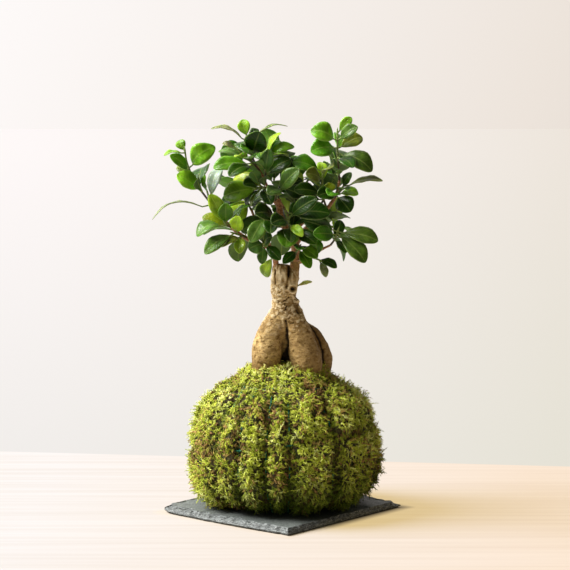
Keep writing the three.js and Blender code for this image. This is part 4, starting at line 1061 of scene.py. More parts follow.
def ball_outline(angle):
    """Half width and height of the ball at an angle up its outline."""
    above = angle >= 0
    power = 2 / np.where(above, BALL_SHOULDER, MOSS_FLANK)
    reach = np.where(above, BALL_TOP - BALL_WAIST, BALL_BELLY)
    across = np.cos(angle) ** power * BALL_RADIUS
    height = np.abs(np.sin(angle)) ** power * reach * np.sign(angle)
    mound = np.where(above, MOSS_MOUND * (1 - smoothstep(across, *MOSS_MOUND_RING)), 0)
    return across, BALL_WAIST + height + mound


COLLAR_RADIUS = float(ball_outline(np.array(math.radians(THREAD_TOP)))[0])


def belt_height(azimuth):
    return BELT_HEIGHT + BELT_TILT * np.cos(azimuth - math.radians(BELT_TURN))


def groove_depth(azimuth, across, height):
    """How deep the thread has pulled the moss in."""
    depth = np.zeros(np.broadcast(azimuth, across).shape)
    for strand in np.radians(np.ravel(STRANDS)):
        apart = np.arctan2(np.sin(azimuth - strand), np.cos(azimuth - strand))
        depth = np.maximum(depth, GROOVE_DEPTH * hill(apart * across, GROOVE_WIDTH))
    belt = hill(height - belt_height(azimuth), GROOVE_WIDTH)
    depth = np.maximum(depth, BELT_PULL * GROOVE_DEPTH * belt) * smoothstep(across, *GROOVE_RING)
    collar = hill(across - COLLAR_RADIUS, GROOVE_WIDTH) * (height > BALL_WAIST)
    return np.maximum(depth, COLLAR_PULL * GROOVE_DEPTH * collar)


def ball_points(azimuth, angle, inset):
    """Points that deep under the plain ball."""
    across, height = ball_outline(angle)
    sin, cos = np.sin(azimuth), np.cos(azimuth)
    normal = np.stack([np.cos(angle) * sin, -np.cos(angle) * cos, np.sin(angle) + 0 * azimuth], -1)
    point = np.stack([BALL_X + across * sin, -across * cos, height + 0 * azimuth], -1)
    return point - normal * np.asarray(inset)[..., None]


def moss_skin(azimuth, angle, inset):
    """Points on the grooved ball, kept clear of the slate."""
    across, height = ball_outline(angle)
    points = ball_points(azimuth, angle, groove_depth(azimuth, across, height) + inset)
    points[..., 2] = np.maximum(points[..., 2], SKIN_FLOOR)
    return points


def patch(points, x, z, reach):
    """1 at a place seen from the front, falling away round it."""
    return np.exp(-((points[:, 0] - x) ** 2 + (points[:, 2] - z) ** 2) / reach**2)


def moss_relief(points):
    """How far the moss's cushions stand out or sink in at points on the ball."""
    (x, z), reach, height = LOBE
    lobe = height * patch(points, x, z, reach) * (points[:, 1] < 20)
    return 2.8 * rough(points, 12, 2, 2) + 0.8 * rough(points, 4.5, 6, 2) + lobe


def build_bed():
    """The dense dark inside of the moss, which shows between its shoots."""
    azimuth = circle(BED_COLUMNS)
    rings = []
    for row in range(BED_ROWS + 1):
        angle = np.full(BED_COLUMNS, math.radians(BED_BOTTOM + BED_SPAN * row / BED_ROWS))
        ring = moss_skin(azimuth, angle, np.full(BED_COLUMNS, MOSS_BED))
        rings.append(moss_skin(azimuth, angle, MOSS_BED - moss_relief(ring)))
    bed = mesh_of("moss_bed", *loft(rings))
    dress(bed, "moss", ["moss_wrap"], BED)


def patch_strength(points, patches):
    total = np.zeros(len(points))
    for x, z, reach, strength in patches:
        total = np.maximum(total, strength * patch(points, x, z, reach) * (points[:, 1] < 0))
    return total


def ring_of(centre, flatways, rise, width):
    """Three points round each centre."""
    corners = ((1.0, 0.0), (-1.0, 0.0), (0.0, 0.8))
    return [centre + (flatways * out + rise * up) * width for out, up in corners]


def sunk_free(points):
    """The same points, kept above the slate."""
    return np.concatenate([points[:, :2], np.maximum(points[:, 2:], SLATE_TOP + FROND_CLEAR)], 1)


def frond_tones(draw, at, tufts, nearest, pressed):
    """How yellow each frond is, from dead brown to fresh, and how dark with painted shade."""
    count = len(at)
    tuft_tone = draw.normal(0, 0.1, len(tufts)) + 0.28 * rough(tufts, 24, 9) + 0.24 * rough(tufts, 8, 4)
    tone = USUAL_TONE + tuft_tone[nearest] + draw.normal(0, 0.16, count) - 0.28 * pressed
    tone += patch_strength(at, FRESH_PATCHES)
    old_behind = 0.4 * smoothstep(rough(tufts, 15, 12)[nearest], 0.2, 0.5) * (at[:, 1] > 0)
    old = np.maximum(patch_strength(at, OLD_PATCHES), old_behind) * draw.uniform(0.5, 1.7, count)
    stray = draw.uniform(0, 1, count) < DEAD_SHARE
    # Painted shade, darker from below, more so on the right, and in the grooves of the thread
    low = smoothstep(at[:, 2] + 8 * rough(tufts, 14, 21)[nearest], 62, 12)
    painted_shade = (0.25 + 0.75 * smoothstep(at[:, 0], -60, -5)) * low + 0.85 * pressed**1.3
    painted_shade += 0.12 * smoothstep(at[:, 0] + 10 * rough(tufts, 16, 22)[nearest], -10, 55)
    painted_shade = np.clip(painted_shade + draw.normal(0, 0.12, count), 0, 1)
    return np.where(stray, draw.uniform(0.05, 0.28, count), np.clip(tone - old, 0, 1)), painted_shade


def frond_skins(draw, root, outward, heading, second, length):
    """Points of all fronds, how near its tip each point is, and the triangles of one frond."""
    count = len(root)
    middle = sunk_free(root + heading * (length * FROND_JOINT)[:, None])
    tip = sunk_free(middle + second * (length * 0.45)[:, None])
    beside = unit(np.cross(heading, outward) + TINY)
    rise = np.cross(beside, heading)
    points = ring_of(root, beside, rise, 0.4 * FROND_WIDTH)
    points += ring_of(middle, beside, rise, 0.5 * FROND_WIDTH) + [tip]
    tips = [0 * length] * 3 + [0.5 + 0 * length] * 3 + [0.9 + 0 * length]
    faces = [(0, 2, 1)]
    for a, b in ((0, 1), (1, 2), (2, 0)):
        faces += [(a, b, b + 3), (a, b + 3, a + 3), (a + 3, b + 3, 6)]
    for leaflet in range(LEAFLETS):
        share = (0.28 + 0.66 * (leaflet + draw.uniform(0, 0.8, count)) / LEAFLETS)[:, None]
        early = np.minimum(share, FROND_JOINT) * length[:, None]
        late = np.maximum(share - FROND_JOINT, 0) * length[:, None]
        start = sunk_free(root + heading * early + second * late)
        side = beside * (1 if leaflet % 2 else -1)
        ahead = np.where(share > FROND_JOINT, second, heading)
        lifted = outward * draw.uniform(-0.3, 0.5, count)[:, None] - UP * 0.15
        way = unit(ahead * 0.9 + side * draw.uniform(0.5, 1.0, count)[:, None] + lifted)
        reach = draw.uniform(*LEAFLET_LENGTH, count)[:, None] * (1.2 - 0.6 * share)
        flatways = unit(np.cross(way, outward) + TINY)
        first = len(points)
        points += ring_of(start, flatways, np.cross(flatways, way), 0.5 * LEAFLET_WIDTH)
        points.append(sunk_free(start + way * reach))
        tips += [share[:, 0] * 0.7] * 3 + [np.minimum(share[:, 0] * 0.7 + 0.35, 1)]
        faces += [(first, first + 2, first + 1)]
        faces += [(first + a, first + b, first + 3) for a, b in ((0, 1), (1, 2), (2, 0))]
    return np.stack(points, 1), np.stack(tips, 1), np.array(faces)


def build_fronds():
    """Live moss: feathery fronds, each a stem with leaflets on both sides, that arch out in tufts."""
    draw = np.random.default_rng(MOSS_SEED)
    steps = np.radians(np.linspace(*FROND_RANGE, 2000))
    across, height = ball_outline(steps)
    run = np.hypot(np.gradient(across), np.gradient(height)) * across
    spread = np.cumsum(run) / run.sum()

    def scatter(count):
        """Places spread evenly over the ball."""
        return draw.uniform(-np.pi, np.pi, count), np.interp(draw.uniform(0, 1, count), spread, steps)

    count = FROND_COUNT
    azimuth, angle = scatter(count)
    even = np.full(count, MOSS_BED)
    at = moss_skin(azimuth, angle, even)
    step = 0.01
    sideways = unit(moss_skin(azimuth + step, angle, even) - moss_skin(azimuth - step, angle, even) + TINY)
    upward = unit(moss_skin(azimuth, angle + step, even) - moss_skin(azimuth, angle - step, even) + TINY)
    outward = unit(np.cross(sideways, upward))
    root = moss_skin(azimuth, angle, MOSS_BED + FROND_ROOT - moss_relief(at))

    # Fronds fan out from the middle of their tuft, steeply there and flatter towards its edge
    tuft_azimuth, tuft_angle = scatter(TUFT_COUNT)
    tufts = moss_skin(tuft_azimuth, tuft_angle, np.full(TUFT_COUNT, MOSS_BED))
    nearest = nearest_of(at, tufts)
    fan = at - tufts[nearest]
    off_centre = np.linalg.norm(fan, axis=1)
    fan = unit(fan - outward * (fan * outward).sum(1, keepdims=True) + 1e-6)
    turn = draw.normal(0, 1.3, count)[:, None]
    flat = fan * np.cos(turn) + np.cross(outward, fan) * np.sin(turn)
    slope = FROND_SLOPE - 5 * off_centre + draw.normal(0, 20, count)
    slope = np.radians(np.clip(slope, *FROND_SLOPES))[:, None]
    heading = flat * np.cos(slope) + outward * np.sin(slope)
    pressed = groove_depth(azimuth, *ball_outline(angle)) / GROOVE_DEPTH
    length = draw.uniform(*FROND_LENGTH, count) * draw.choice([0.8, 1.0, 1.0, 1.3], count)
    length *= 1 - 0.55 * pressed
    length = np.where(draw.uniform(0, 1, count) < LONG_SHARE, length * 1.5, length)
    # Beyond its joint, a frond curls aside, bends over and sags, most on the lower half of the ball
    curl = draw.normal(0, 0.5, count)[:, None]
    bend = draw.uniform(0.1, 0.5, count)[:, None]
    sag = 0.1 + 0.3 * smoothstep(np.degrees(angle), 25, -25)[:, None]
    second = unit(heading + np.cross(outward, heading) * curl - outward * bend - UP * sag)

    tone, painted_shade = frond_tones(draw, at, tufts, nearest, pressed)
    points, tips, faces = frond_skins(draw, root, outward, heading, second, length)
    share = count // MOSS_PIECES
    order = np.argsort(azimuth, kind="stable")
    for piece in range(MOSS_PIECES):
        chosen = order[piece * share : (piece + 1) * share]
        shift = (np.arange(share) * points.shape[1])[:, None, None]
        triangles = (faces[None] + shift).reshape(-1, 3)
        fronds = fast_mesh(f"moss_fronds_{piece + 1}", points[chosen].reshape(-1, 3), triangles)
        mark(fronds, "moss_tone", "FLOAT", np.repeat(tone[chosen], points.shape[1]))
        mark(fronds, "moss_tip", "FLOAT", tips[chosen])
        mark(fronds, "moss_painted_shade", "FLOAT", np.repeat(painted_shade[chosen], points.shape[1]))
        dress(fronds, "moss", ["moss_wrap"], MOSS)


def nearest_of(points, centres):
    """Index of the nearest centre to each point."""
    found = np.empty(len(points), dtype=int)
    for start in range(0, len(points), 2000):
        some = points[start : start + 2000]
        apart = ((some[:, None] - centres[None]) ** 2).sum(-1)
        found[start : start + 2000] = apart.argmin(1)
    return found


def fast_mesh(name, points, triangles):
    """A triangle mesh written in bulk."""
    mesh = bpy.data.meshes.new(name)
    mesh.vertices.add(len(points))
    mesh.vertices.foreach_set("co", (points * MM).astype(np.float32).ravel())
    mesh.loops.add(triangles.size)
    mesh.loops.foreach_set("vertex_index", triangles.astype(np.int32).ravel())
    mesh.polygons.add(len(triangles))
    mesh.polygons.foreach_set("loop_start", np.arange(0, triangles.size, 3, dtype=np.int32))
    mesh.polygons.foreach_set("use_smooth", [True] * len(triangles))
    mesh.update(calc_edges=True)
    return stand(name, mesh)


# Thread


THREAD_STEP = 2.2  # length of the thread's short straight bits


def thread_point(azimuth, angle, depth):
    """The thread's middle at a place on the ball, that deep in its groove."""
    across, height = ball_outline(np.array(angle))
    room = THREAD_ROOM * smoothstep(abs(angle), *np.radians(THREAD_ROOM_ANGLES))
    room += THREAD_STRAY * noise.noise(Vector((azimuth * 4, angle * 4, -depth)))
    inset = groove_depth(np.array(azimuth), across, height) + depth - room
    point = ball_points(np.array(azimuth), np.array(angle), inset)
    point[2] = max(point[2], THREAD_FLOOR)
    return point


def strand_route(azimuth):
    angles = np.radians(np.linspace(THREAD_TOP, THREAD_BOTTOM, THREAD_ROWS + 1))
    points = [thread_point(math.radians(azimuth), angle, THREAD_SUNK) for angle in angles]
    points[-1][2] = THREAD_FLOOR
    return points


def belt_angle(height):
    """The angle up the ball's outline at a height."""
    above = height >= BALL_WAIST
    reach = BALL_TOP - BALL_WAIST if above else BALL_BELLY
    power = (BALL_SHOULDER if above else MOSS_FLANK) / 2
    share = min(abs(height - BALL_WAIST) / reach, 1)
    return math.asin(share**power) * (1 if above else -1)


def build_thread():
    routes = []
    for rise, fall in STRANDS:
        down, up = strand_route(rise), strand_route(fall)[::-1]
        below = [down[-1] + (up[0] - down[-1]) * share for share in THREAD_UNDER]
        routes.append((down + below + up, False))
    top = math.radians(THREAD_TOP)
    routes.append(([thread_point(turn, top, RING_SUNK) for turn in circle(COLLAR_STEPS)], True))
    belt = [thread_point(turn, belt_angle(belt_height(turn)), RING_SUNK) for turn in circle(BELT_STEPS)]
    routes.append((belt, True))
    parts = []
    for route, closed in routes:
        curve = Curve(route, closed)
        parts.append(tube(curve.even(int(curve.length() / THREAD_STEP)), THREAD_WIDTH / 2, 6))
    thread = mesh_of("thread", *joined(parts))
    dress(thread, "thread", ["binding_thread"], THREAD)


# Trunk and limbs

BARK_VOXEL = 0.75
BARK_ROUNDS = 9
BRANCH_VOXEL = 0.7
BRANCH_ROUNDS = 3
FUSE_LOSS = 0.12  # what the smoothing takes off a limb's radius
RING_POINTS = 24
ROOT_RINGS = 26
KNOT_RINGS = 9
THICK_LIMB = "limb_right"
OLD_BARK = 222  # height up to which the thick limb has the stem's bark

# Cracks and creases on the front: x and z of the points that each one passes, its half width and its depth
CRACKS = [
    ([[-6.2, 214], [-6.0, 208], [-5.8, 202]], 0.8, 1.5),
    ([[7.6, 220], [6.8, 212]], 1.9, 2.4),
    ([[7.2, 214], [5.8, 206], [4.6, 199]], 0.9, 2.0),
    ([[6.4, 191], [3.4, 188.3], [0.6, 186.2]], 0.6, 0.8),
    ([[2.8, 185.5], [4.6, 183], [4, 180], [1.4, 178.6]], 0.45, 0.5),
    ([[3.6, 171], [4.8, 165], [4.6, 156], [5.4, 148], [4.8, 138]], 1.2, 1.8),
    ([[25, 165], [29.5, 159], [34, 150], [36.6, 141], [37.4, 126]], 0.9, 1.4),
]
# Folds across the stem: x, z, half length, half width and depth
FOLDS = [
    [0.5, 194.5, 5, 0.7, 0.6],
    [2, 188.5, 4, 0.7, 0.7],
    [3.5, 182.5, 4.5, 0.7, 0.7],
    [3, 177, 5, 0.6, 0.4],
    [-4, 200, 4, 0.6, 0.4],
    [-12, 166, 5, 0.6, 0.3],
    [14, 168, 5, 0.6, 0.3],
    [-14, 151, 6, 0.7, 0.25],
]
# Round scars of shed shoots on the stem: x, z and radius
SCARS = [
    [1.5, 193.5, 3.4],
    [3.2, 182.6, 2.9],
    [8.5, 170.5, 2.6],
]
KNOT_RING = ([9.9, -9.5, 198.2], 3.1)
HOLES = [([14.6, -9, 177], 1.6, 1.6), ([-17, -14, 148], 0.8, 0.4), ([19, -22, 150], 0.8, 0.4)]


def oval(wide, deep):
    """A level ring of points round the axis."""
    turns = circle(RING_POINTS)
    return np.stack([wide * np.cos(turns), deep * np.sin(turns), 0 * turns], 1)


def root_rings(sections):
    """Rings along a root, smoothed between its given sections."""
    sections = np.array(sections, dtype=float)
    curve = Curve(sections[:, :3])
    ends = np.linspace(0, 1, len(sections))
    rings = []
    for share in np.linspace(0, 1, ROOT_RINGS):
        wide, deep = (np.interp(share, ends, sections[:, column]) for column in (3, 4))
        rings.append(curve.point(share) + oval(wide, deep))
    return rings


def near_path(points, path):
    """How far each point is from a broken line, seen from the front."""
    points = points[:, [0, 2]]
    best = np.full(len(points), np.inf)
    for a, b in zip(path, path[1:]):
        a, b = np.array(a, dtype=float), np.array(b, dtype=float)
        share = np.clip((points - a) @ (b - a) / (b - a).dot(b - a), 0, 1)
        best = np.minimum(best, np.linalg.norm(points - a - share[:, None] * (b - a), axis=1))
    return best


def carve(piece):
    """Presses wrinkles, cracks and knots into a fused skin and writes its bark marks, painted shade among
    them.
    """
    mesh = piece.data
    points = read_out(mesh.vertices, "co") / MM
    out = read_out(mesh.vertex_normals, "vector")
    right, height = points[:, 0], points[:, 2]
    front = smoothstep(-out[:, 1], -0.1, 0.4)
    # Fine wrinkles across, scales and broad swellings, more rugged up the stem
    wrinkle = rough(points * [0.6, 0.6, 1.3], 3.4, 31, 4)
    scales = rough(points, 6, 37, 3)
    swell = rough(points, 14, 7, 2)
    # The sawn stub at the top has long upright fibres instead of wrinkles
    upright = rough(points * [1.5, 1.5, 0.28], 3.2, 83, 3)
    wrinkle += smoothstep(height + 2 * swell, 200, 206) * (1.3 * upright - wrinkle)
    rugged = 0.5 + 0.5 * smoothstep(height, 165, 185)
    shift = rugged * (0.45 * wrinkle + 0.6 * scales) + 0.5 * swell
    dent_and_shade = (0.3 + 0.3 * rugged) * wrinkle + 0.3 * rugged * scales
    stain_and_shade = 0.5 * smoothstep(rough(points, 8, 19, 4), 0.1, 0.7)
    # Bark that flakes off in plates, with seams between them
    flaky = smoothstep(height + 6 * swell, 150, 190) * (1 - 0.85 * smoothstep(height, 197, 205))
    flaky *= 1 - hill(np.linalg.norm(points - KNOT_RING[0], axis=1), 6)
    level = np.abs(rough(points * [0.8, 0.8, 1.1], 3.8, 61, 4))
    seam = (1 - smoothstep(level, 0, 0.11)) * flaky
    shift += flaky * 0.6 * smoothstep(level, 0, 0.5) - 0.2 * seam
    dent_and_shade += flaky * (0.35 + 0.8 * smoothstep(level, 0.1, 0.5)) - 0.7 * seam
    dent_and_shade += 0.5 * smoothstep(height + 3 * swell, 194, 204) * smoothstep(height + 4 * swell, 219, 211)
    stain_and_shade *= 1 - 0.6 * flaky
    for x, z, radius in SCARS:
        away = np.hypot(right - x, 1.15 * (height - z)) + 0.25 * swell
        knob = front * (1 - smoothstep(away, 0.8 * radius, 1.2 * radius))
        groove = front * hill(away - radius, 0.6)
        inner = front * hill(away - 0.45 * radius, 0.45)
        shift += 0.5 * knob - 0.5 * groove - 0.2 * inner
        dent_and_shade += 0.5 * knob - 1.0 * groove - 0.8 * inner
    jag = 1.1 * rough(points, 5, 43, 3)
    fading = 0.55 + 0.6 * rough(points, 6, 47, 2)
    for path, width, depth in CRACKS:
        away = np.abs(near_path(points + np.stack([0.5 * jag, 0 * jag, 0 * jag], 1), path))
        cut = hill(away, width * (0.85 + 0.3 * fading)) * front * (0.8 + 0.3 * fading)
        shift -= depth * cut
        dent_and_shade -= 1.5 * cut
    for x, z, half, width, depth in FOLDS:
        level = height - z - 0.06 * (right - x) ** 2 + jag
        aside = ((right - x) / half) ** 2
        cut = np.exp(-((level / width) ** 2) - aside) * front * fading
        ridge = np.exp(-(((level - 1.6) / width) ** 2) - aside) * front
        shift += depth * (0.6 * ridge - cut)
        dent_and_shade += 0.3 * ridge - 0.45 * cut
    # The knot is a raised ring round a deep pit
    centre, radius = KNOT_RING
    away = np.linalg.norm((points - centre) * [1, 0.5, 1], axis=1)
    ring = hill(away - radius, 1.1) * front
    pit = np.exp(-((away / 2.0) ** 4)) * front
    shift += 1.3 * ring - 3 * pit
    dent_and_shade += 0.9 * ring - 3 * pit
    for centre, radius, depth in HOLES:
        away = np.linalg.norm((points - centre) * [1, 0.4, 1], axis=1)
        pit = hill(away, radius) * front
        shift -= depth * pit
        dent_and_shade -= 1.3 * pit
    # Painted shade darkens the cleft between the front roots
    hidden = smoothstep(points[:, 1], -9, -4) * smoothstep(height, 170, 160) * front
    hidden *= smoothstep(np.abs(right - 4), 12, 8)
    dent_and_shade -= 1.5 * hidden
    stain_and_shade = np.maximum(stain_and_shade, 0.9 * smoothstep(height + 2 * wrinkle, 213, 218))
    stain_and_shade = np.maximum(stain_and_shade, 0.8 * smoothstep(height + 3 * wrinkle, 140, 122))
    # Painted shade: the right-hand side is darker, most of all on the stem
    stain_and_shade = np.maximum(stain_and_shade, 0.6 * smoothstep(right + 3 * wrinkle, 14, 34))
    shaded = smoothstep(right + 3 * wrinkle, 6, 12) * smoothstep(height, 172, 182)
    stain_and_shade = np.maximum(stain_and_shade, 0.75 * shaded * smoothstep(height, 200, 194))
    stain_and_shade = np.maximum(stain_and_shade, smoothstep(rough(points * [1, 1, 1.7], 5, 67, 2), 0.38, 0.6))
    set_coordinates(mesh, (points + out * shift[:, None]) * MM)
    mark(piece, "bark_dent_and_shade", "FLOAT", dent_and_shade)
    mark(piece, "bark_stain_and_shade", "FLOAT", stain_and_shade)


def build_trunk():
    parts = [loft(root_rings(sections)) for sections in ROOTS.values()]
    for x, y, z, radius in KNOTS:
        rings = []
        for angle in np.linspace(-1.4, 1.4, KNOT_RINGS):
            ring = oval(1, 1) * math.cos(angle) + UP * math.sin(angle)
            rings.append(np.array([x, y, z]) + radius * ring * [1, 0.7, 0.8])
        parts.append(loft(rings))
    trunk = mesh_of("stem_and_roots", *joined(parts))
    fuse(trunk, BARK_VOXEL, BARK_ROUNDS)
    carve(trunk)
    dress(trunk, "bark", ["trunk"], BARK)


def build_limbs():
    for name, forks in LIMBS.items():
        parts = []
        for fork in forks:
            curve = Curve(fork["path"])
            count = max(8, int(curve.length() / 2))
            start, end = fork["radii"]
            parts.append(tube(curve.even(count), np.linspace(start, end, count + 1) + FUSE_LOSS, 12))
        limb = mesh_of(name.replace("limb", "branch"), *joined(parts))
        fuse(limb, BRANCH_VOXEL, BRANCH_ROUNDS)
        points = read_out(limb.data.vertices, "co") / MM
        knobs = rough(points, 4, 53, 3)
        shift = read_out(limb.data.vertex_normals, "vector") * (0.25 * knobs)[:, None]
        set_coordinates(limb.data, (points + shift) * MM)
        base = smoothstep(points[:, 2] + 3 * knobs, 220, 207)
        mark(limb, "bark_dent_and_shade", "FLOAT", 0.7 * knobs + 0.45 * base)
        mark(limb, "bark_stain_and_shade", "FLOAT", (0.4 + 0.4 * rough(points, 9, 57, 2)) * (1 - base))
        mark(limb, "wood_green", "FLOAT", np.full(len(points), -1.0))
        dress(limb, "wood", [name], BARK, WOOD)
        cells = limb.data.polygons
        old = [c.center[2] / MM < OLD_BARK + 8 * noise.noise(Vector(c.center) / (6 * MM)) for c in cells]
        cells.foreach_set("material_index", [0 if o and name == THICK_LIMB else 1 for o in old])


# Leafy sprays

LEAF_FULLEST = 1.34  # a little nearer to the tip than in the solids' few cross rows
LEAF_BLUNT = 0.56  # the smaller, the blunter its ends
LEAF_FULLNESS = 1.05  # width over the solid's
ROUND_FULLNESS = 1.14  # and of the leaves that stand by rule
LEAF_ENDS = (0.6, 0.15)  # least half width at the stalk and at the tip
LEAF_FOLD = 0.3  # rise of the edges over the midrib
MIDRIB_ROUND = 0.02  # rounds the fold along the midrib
LEAF_WAVES = 2.3  # waves of the margin along a leaf
LEAF_DROOP = 1.2  # how far a leaf's tip bends down
CROWN_MIDDLE = np.array([0.0, 0.0, 272.0])
CROWN_REACH = np.array([88.0, 70.0, 72.0])  # leaves have painted shade, darker towards the middle of the crown
FILL_SEED = 23
FILL_TRIES = 9  # small leaves tried on each twig, to close the inside of the crown
FILL_PLACES = (0.05, 0.85)  # share of the twig where they may start, and how much further along
FILL_LEANS = (40, 40)  # degrees that they lean at least, and how much further
FILL_LENGTH = (17, 27)
FILL_WITHIN = 0.75  # share of the crown's reach inside which they stand
LIMB_SEEN = (-1.5, 268)  # x and z where the thick limb shows between the leaves
LIMB_GAP = (9, 16)  # how far to each side, and up and down, no small leaf covers it
# Single small leaves on old wood: spray that each one is made with, start, tip, width, turn and tone
SHOOTS = [
    ("spray_left_inner", (-7.4, -3.6, 227.0), (-15.5, 9.0, 207.0), 11.5, 70, "y"),
    ("spray_right_under", (13.0, -1.0, 199.5), (26.5, -7.0, 204.5), 3.6, 60, "w"),
]
STALK_SHARE = 0.55  # how much of the blade the stalk runs on under, as its midrib
STALK_RINGS = 13
STALK_RADIUS = 0.78
STALK_TAPER = 0.5  # how much thinner it is at its end
TWIG_SIDES = 8


class Leaf:
    """A leaf's place, size and directions."""

    def __init__(self, spray, start, tip, width, face=0, bow=BLADE_BOW, rows=SMALL_ROWS):
        self.spray, self.start, self.width = spray, start, width
        self.face, self.bow, self.rows = face, bow, rows
        self.fullness = LEAF_FULLNESS
        self.aim(tip)

    def aim(self, tip):
        self.tip = tip
        self.along = unit(tip - self.start)
        middle = (self.start + tip) / 2
        outward = unit(np.array([middle[0], middle[1], 0.0]))
        turn = math.radians(self.face)
        look = (UP + LEAF_OUTWARD * outward) * math.cos(turn) + VIEWER * math.sin(turn)
        self.upper = unit(look - self.along * self.along.dot(look))
        self.side = np.cross(self.upper, self.along)
        length = np.linalg.norm(tip - self.start)
        self.base = self.start + self.along * length * PETIOLE_SHARE
        self.blade = length * (1 - PETIOLE_SHARE)

    def outline(self, share):
        return max(math.sin(math.pi * share**BLADE_FULLEST), 0) ** BLADE_ROUND

    def at(self, share, across):
        half = self.width / 2 * self.outline(share)
        bend = self.bow * self.blade * 4 * share * (1 - share) + BLADE_FOLD * half * abs(across)
        return self.base + self.along * self.blade * share + self.side * half * across + self.upper * bend

    def solid_face(self):
        """The flat faces of the solid's leaf, against which places are tried."""
        half = 0.5 * PETIOLE_WIDTH
        points = [self.start - self.side * half, self.start + self.side * half]
        for share in self.rows:
            points += [self.at(share, across) for across in (-1, 0, 1)]
        return np.array([*points, self.at(1, 0)])


def face_triangles(rows):
    """The triangles of a solid's leaf face with that many cross rows."""
    faces = [(0, 1, 3), (0, 3, 2), (1, 4, 3)]
    for row in range(rows - 1):
        left = 2 + 3 * row
        faces += [(left, left + 1, left + 4), (left, left + 4, left + 3)]
        faces += [(left + 1, left + 2, left + 5), (left + 1, left + 5, left + 4)]
    end, tip = 3 * rows - 1, 3 * rows + 2
    return np.array(faces + [(end, end + 1, tip), (end + 1, end + 2, tip)])


def apart_from(points, corners):
    """The least distance between some points and some triangles."""
    a, b, c = corners[:, 0], corners[:, 1], corners[:, 2]
    ab, ac = b - a, c - a
    out = np.cross(ab, ac)
    size = np.maximum((out**2).sum(1), LEAST)
    away = points[:, None] - a[None]
    lift = (away * out).sum(-1) / np.sqrt(size)
    u = (np.cross(away, ac[None]) * out).sum(-1) / size
    v = (np.cross(ab[None], away) * out).sum(-1) / size
    inside = (u >= 0) & (v >= 0) & (u + v <= 1)
    best = np.where(inside, np.abs(lift), np.inf)
    for start, end in ((a, b), (b, c), (c, a)):
        edge = end - start
        share = ((points[:, None] - start) * edge).sum(-1) / np.maximum((edge**2).sum(1), LEAST)
        near = start + edge * np.clip(share, 0, 1)[..., None]
        best = np.minimum(best, np.linalg.norm(points[:, None] - near, axis=-1))
    return best.min()


class Probe:
    """What the rule tests of a leaf: samples over its blade, its flat faces and a ball round it."""

    def __init__(self, leaf):
        self.spray, self.start = leaf.spray, leaf.start
        shares = [row / PROBE_ROWS for row in range(PROBE_ROWS + 1) for _ in range(3)]
        acrosses = [-1, 0, 1] * (PROBE_ROWS + 1)
        self.samples = np.array([leaf.at(share, across) for share, across in zip(shares, acrosses)])
        self.outer = self.samples[np.array(shares) >= OWN_FROM]
        self.corners = leaf.solid_face()[face_triangles(len(leaf.rows))]
        self.middle = leaf.at(0.5, 0)
        self.reach = leaf.blade * 0.5 + leaf.width * 0.3

    def clear_of(self, other):
        if np.linalg.norm(self.middle - other.middle) > self.reach + other.reach + CLEAR_OTHER:
            return True
        own = self.spray == other.spray
        needed = CLEAR_OWN if own else CLEAR_OTHER
        mine = self.outer if own else self.samples
        theirs = other.outer if own else other.samples
        return apart_from(mine, other.corners) > needed and apart_from(theirs, self.corners) > needed

    def clear_of_wood(self, wood):
        for spray, centres, radii in wood:
            far = np.linalg.norm(centres - self.middle, axis=1) > self.reach + radii + CLEAR_WOOD
            near = ~far
            if spray == self.spray:
                near &= np.linalg.norm(centres - self.start, axis=1) >= OWN_WOOD
            for centre, radius in zip(centres[near], radii[near]):
                if apart_from(centre[None], self.corners) <= radius + CLEAR_WOOD:
                    return False
        return True


def wood_points(path, radii, spray=""):
    """Centres and radii of balls along a piece of wood, with the spray that it belongs to."""
    curve = Curve(path)
    steps = math.ceil(curve.length() / WOOD_STEP)
    return spray, curve.even(steps), radii[0] + (radii[1] - radii[0]) * np.arange(steps + 1) / steps


def leaning(axis, turn, lean):
    """A direction that leans away from an axis, and which way round it."""
    flat = unit(np.cross(axis, UP))
    aside = flat * math.cos(turn) + np.cross(flat, axis) * math.sin(turn)
    return axis * math.cos(lean) + aside * math.sin(lean)


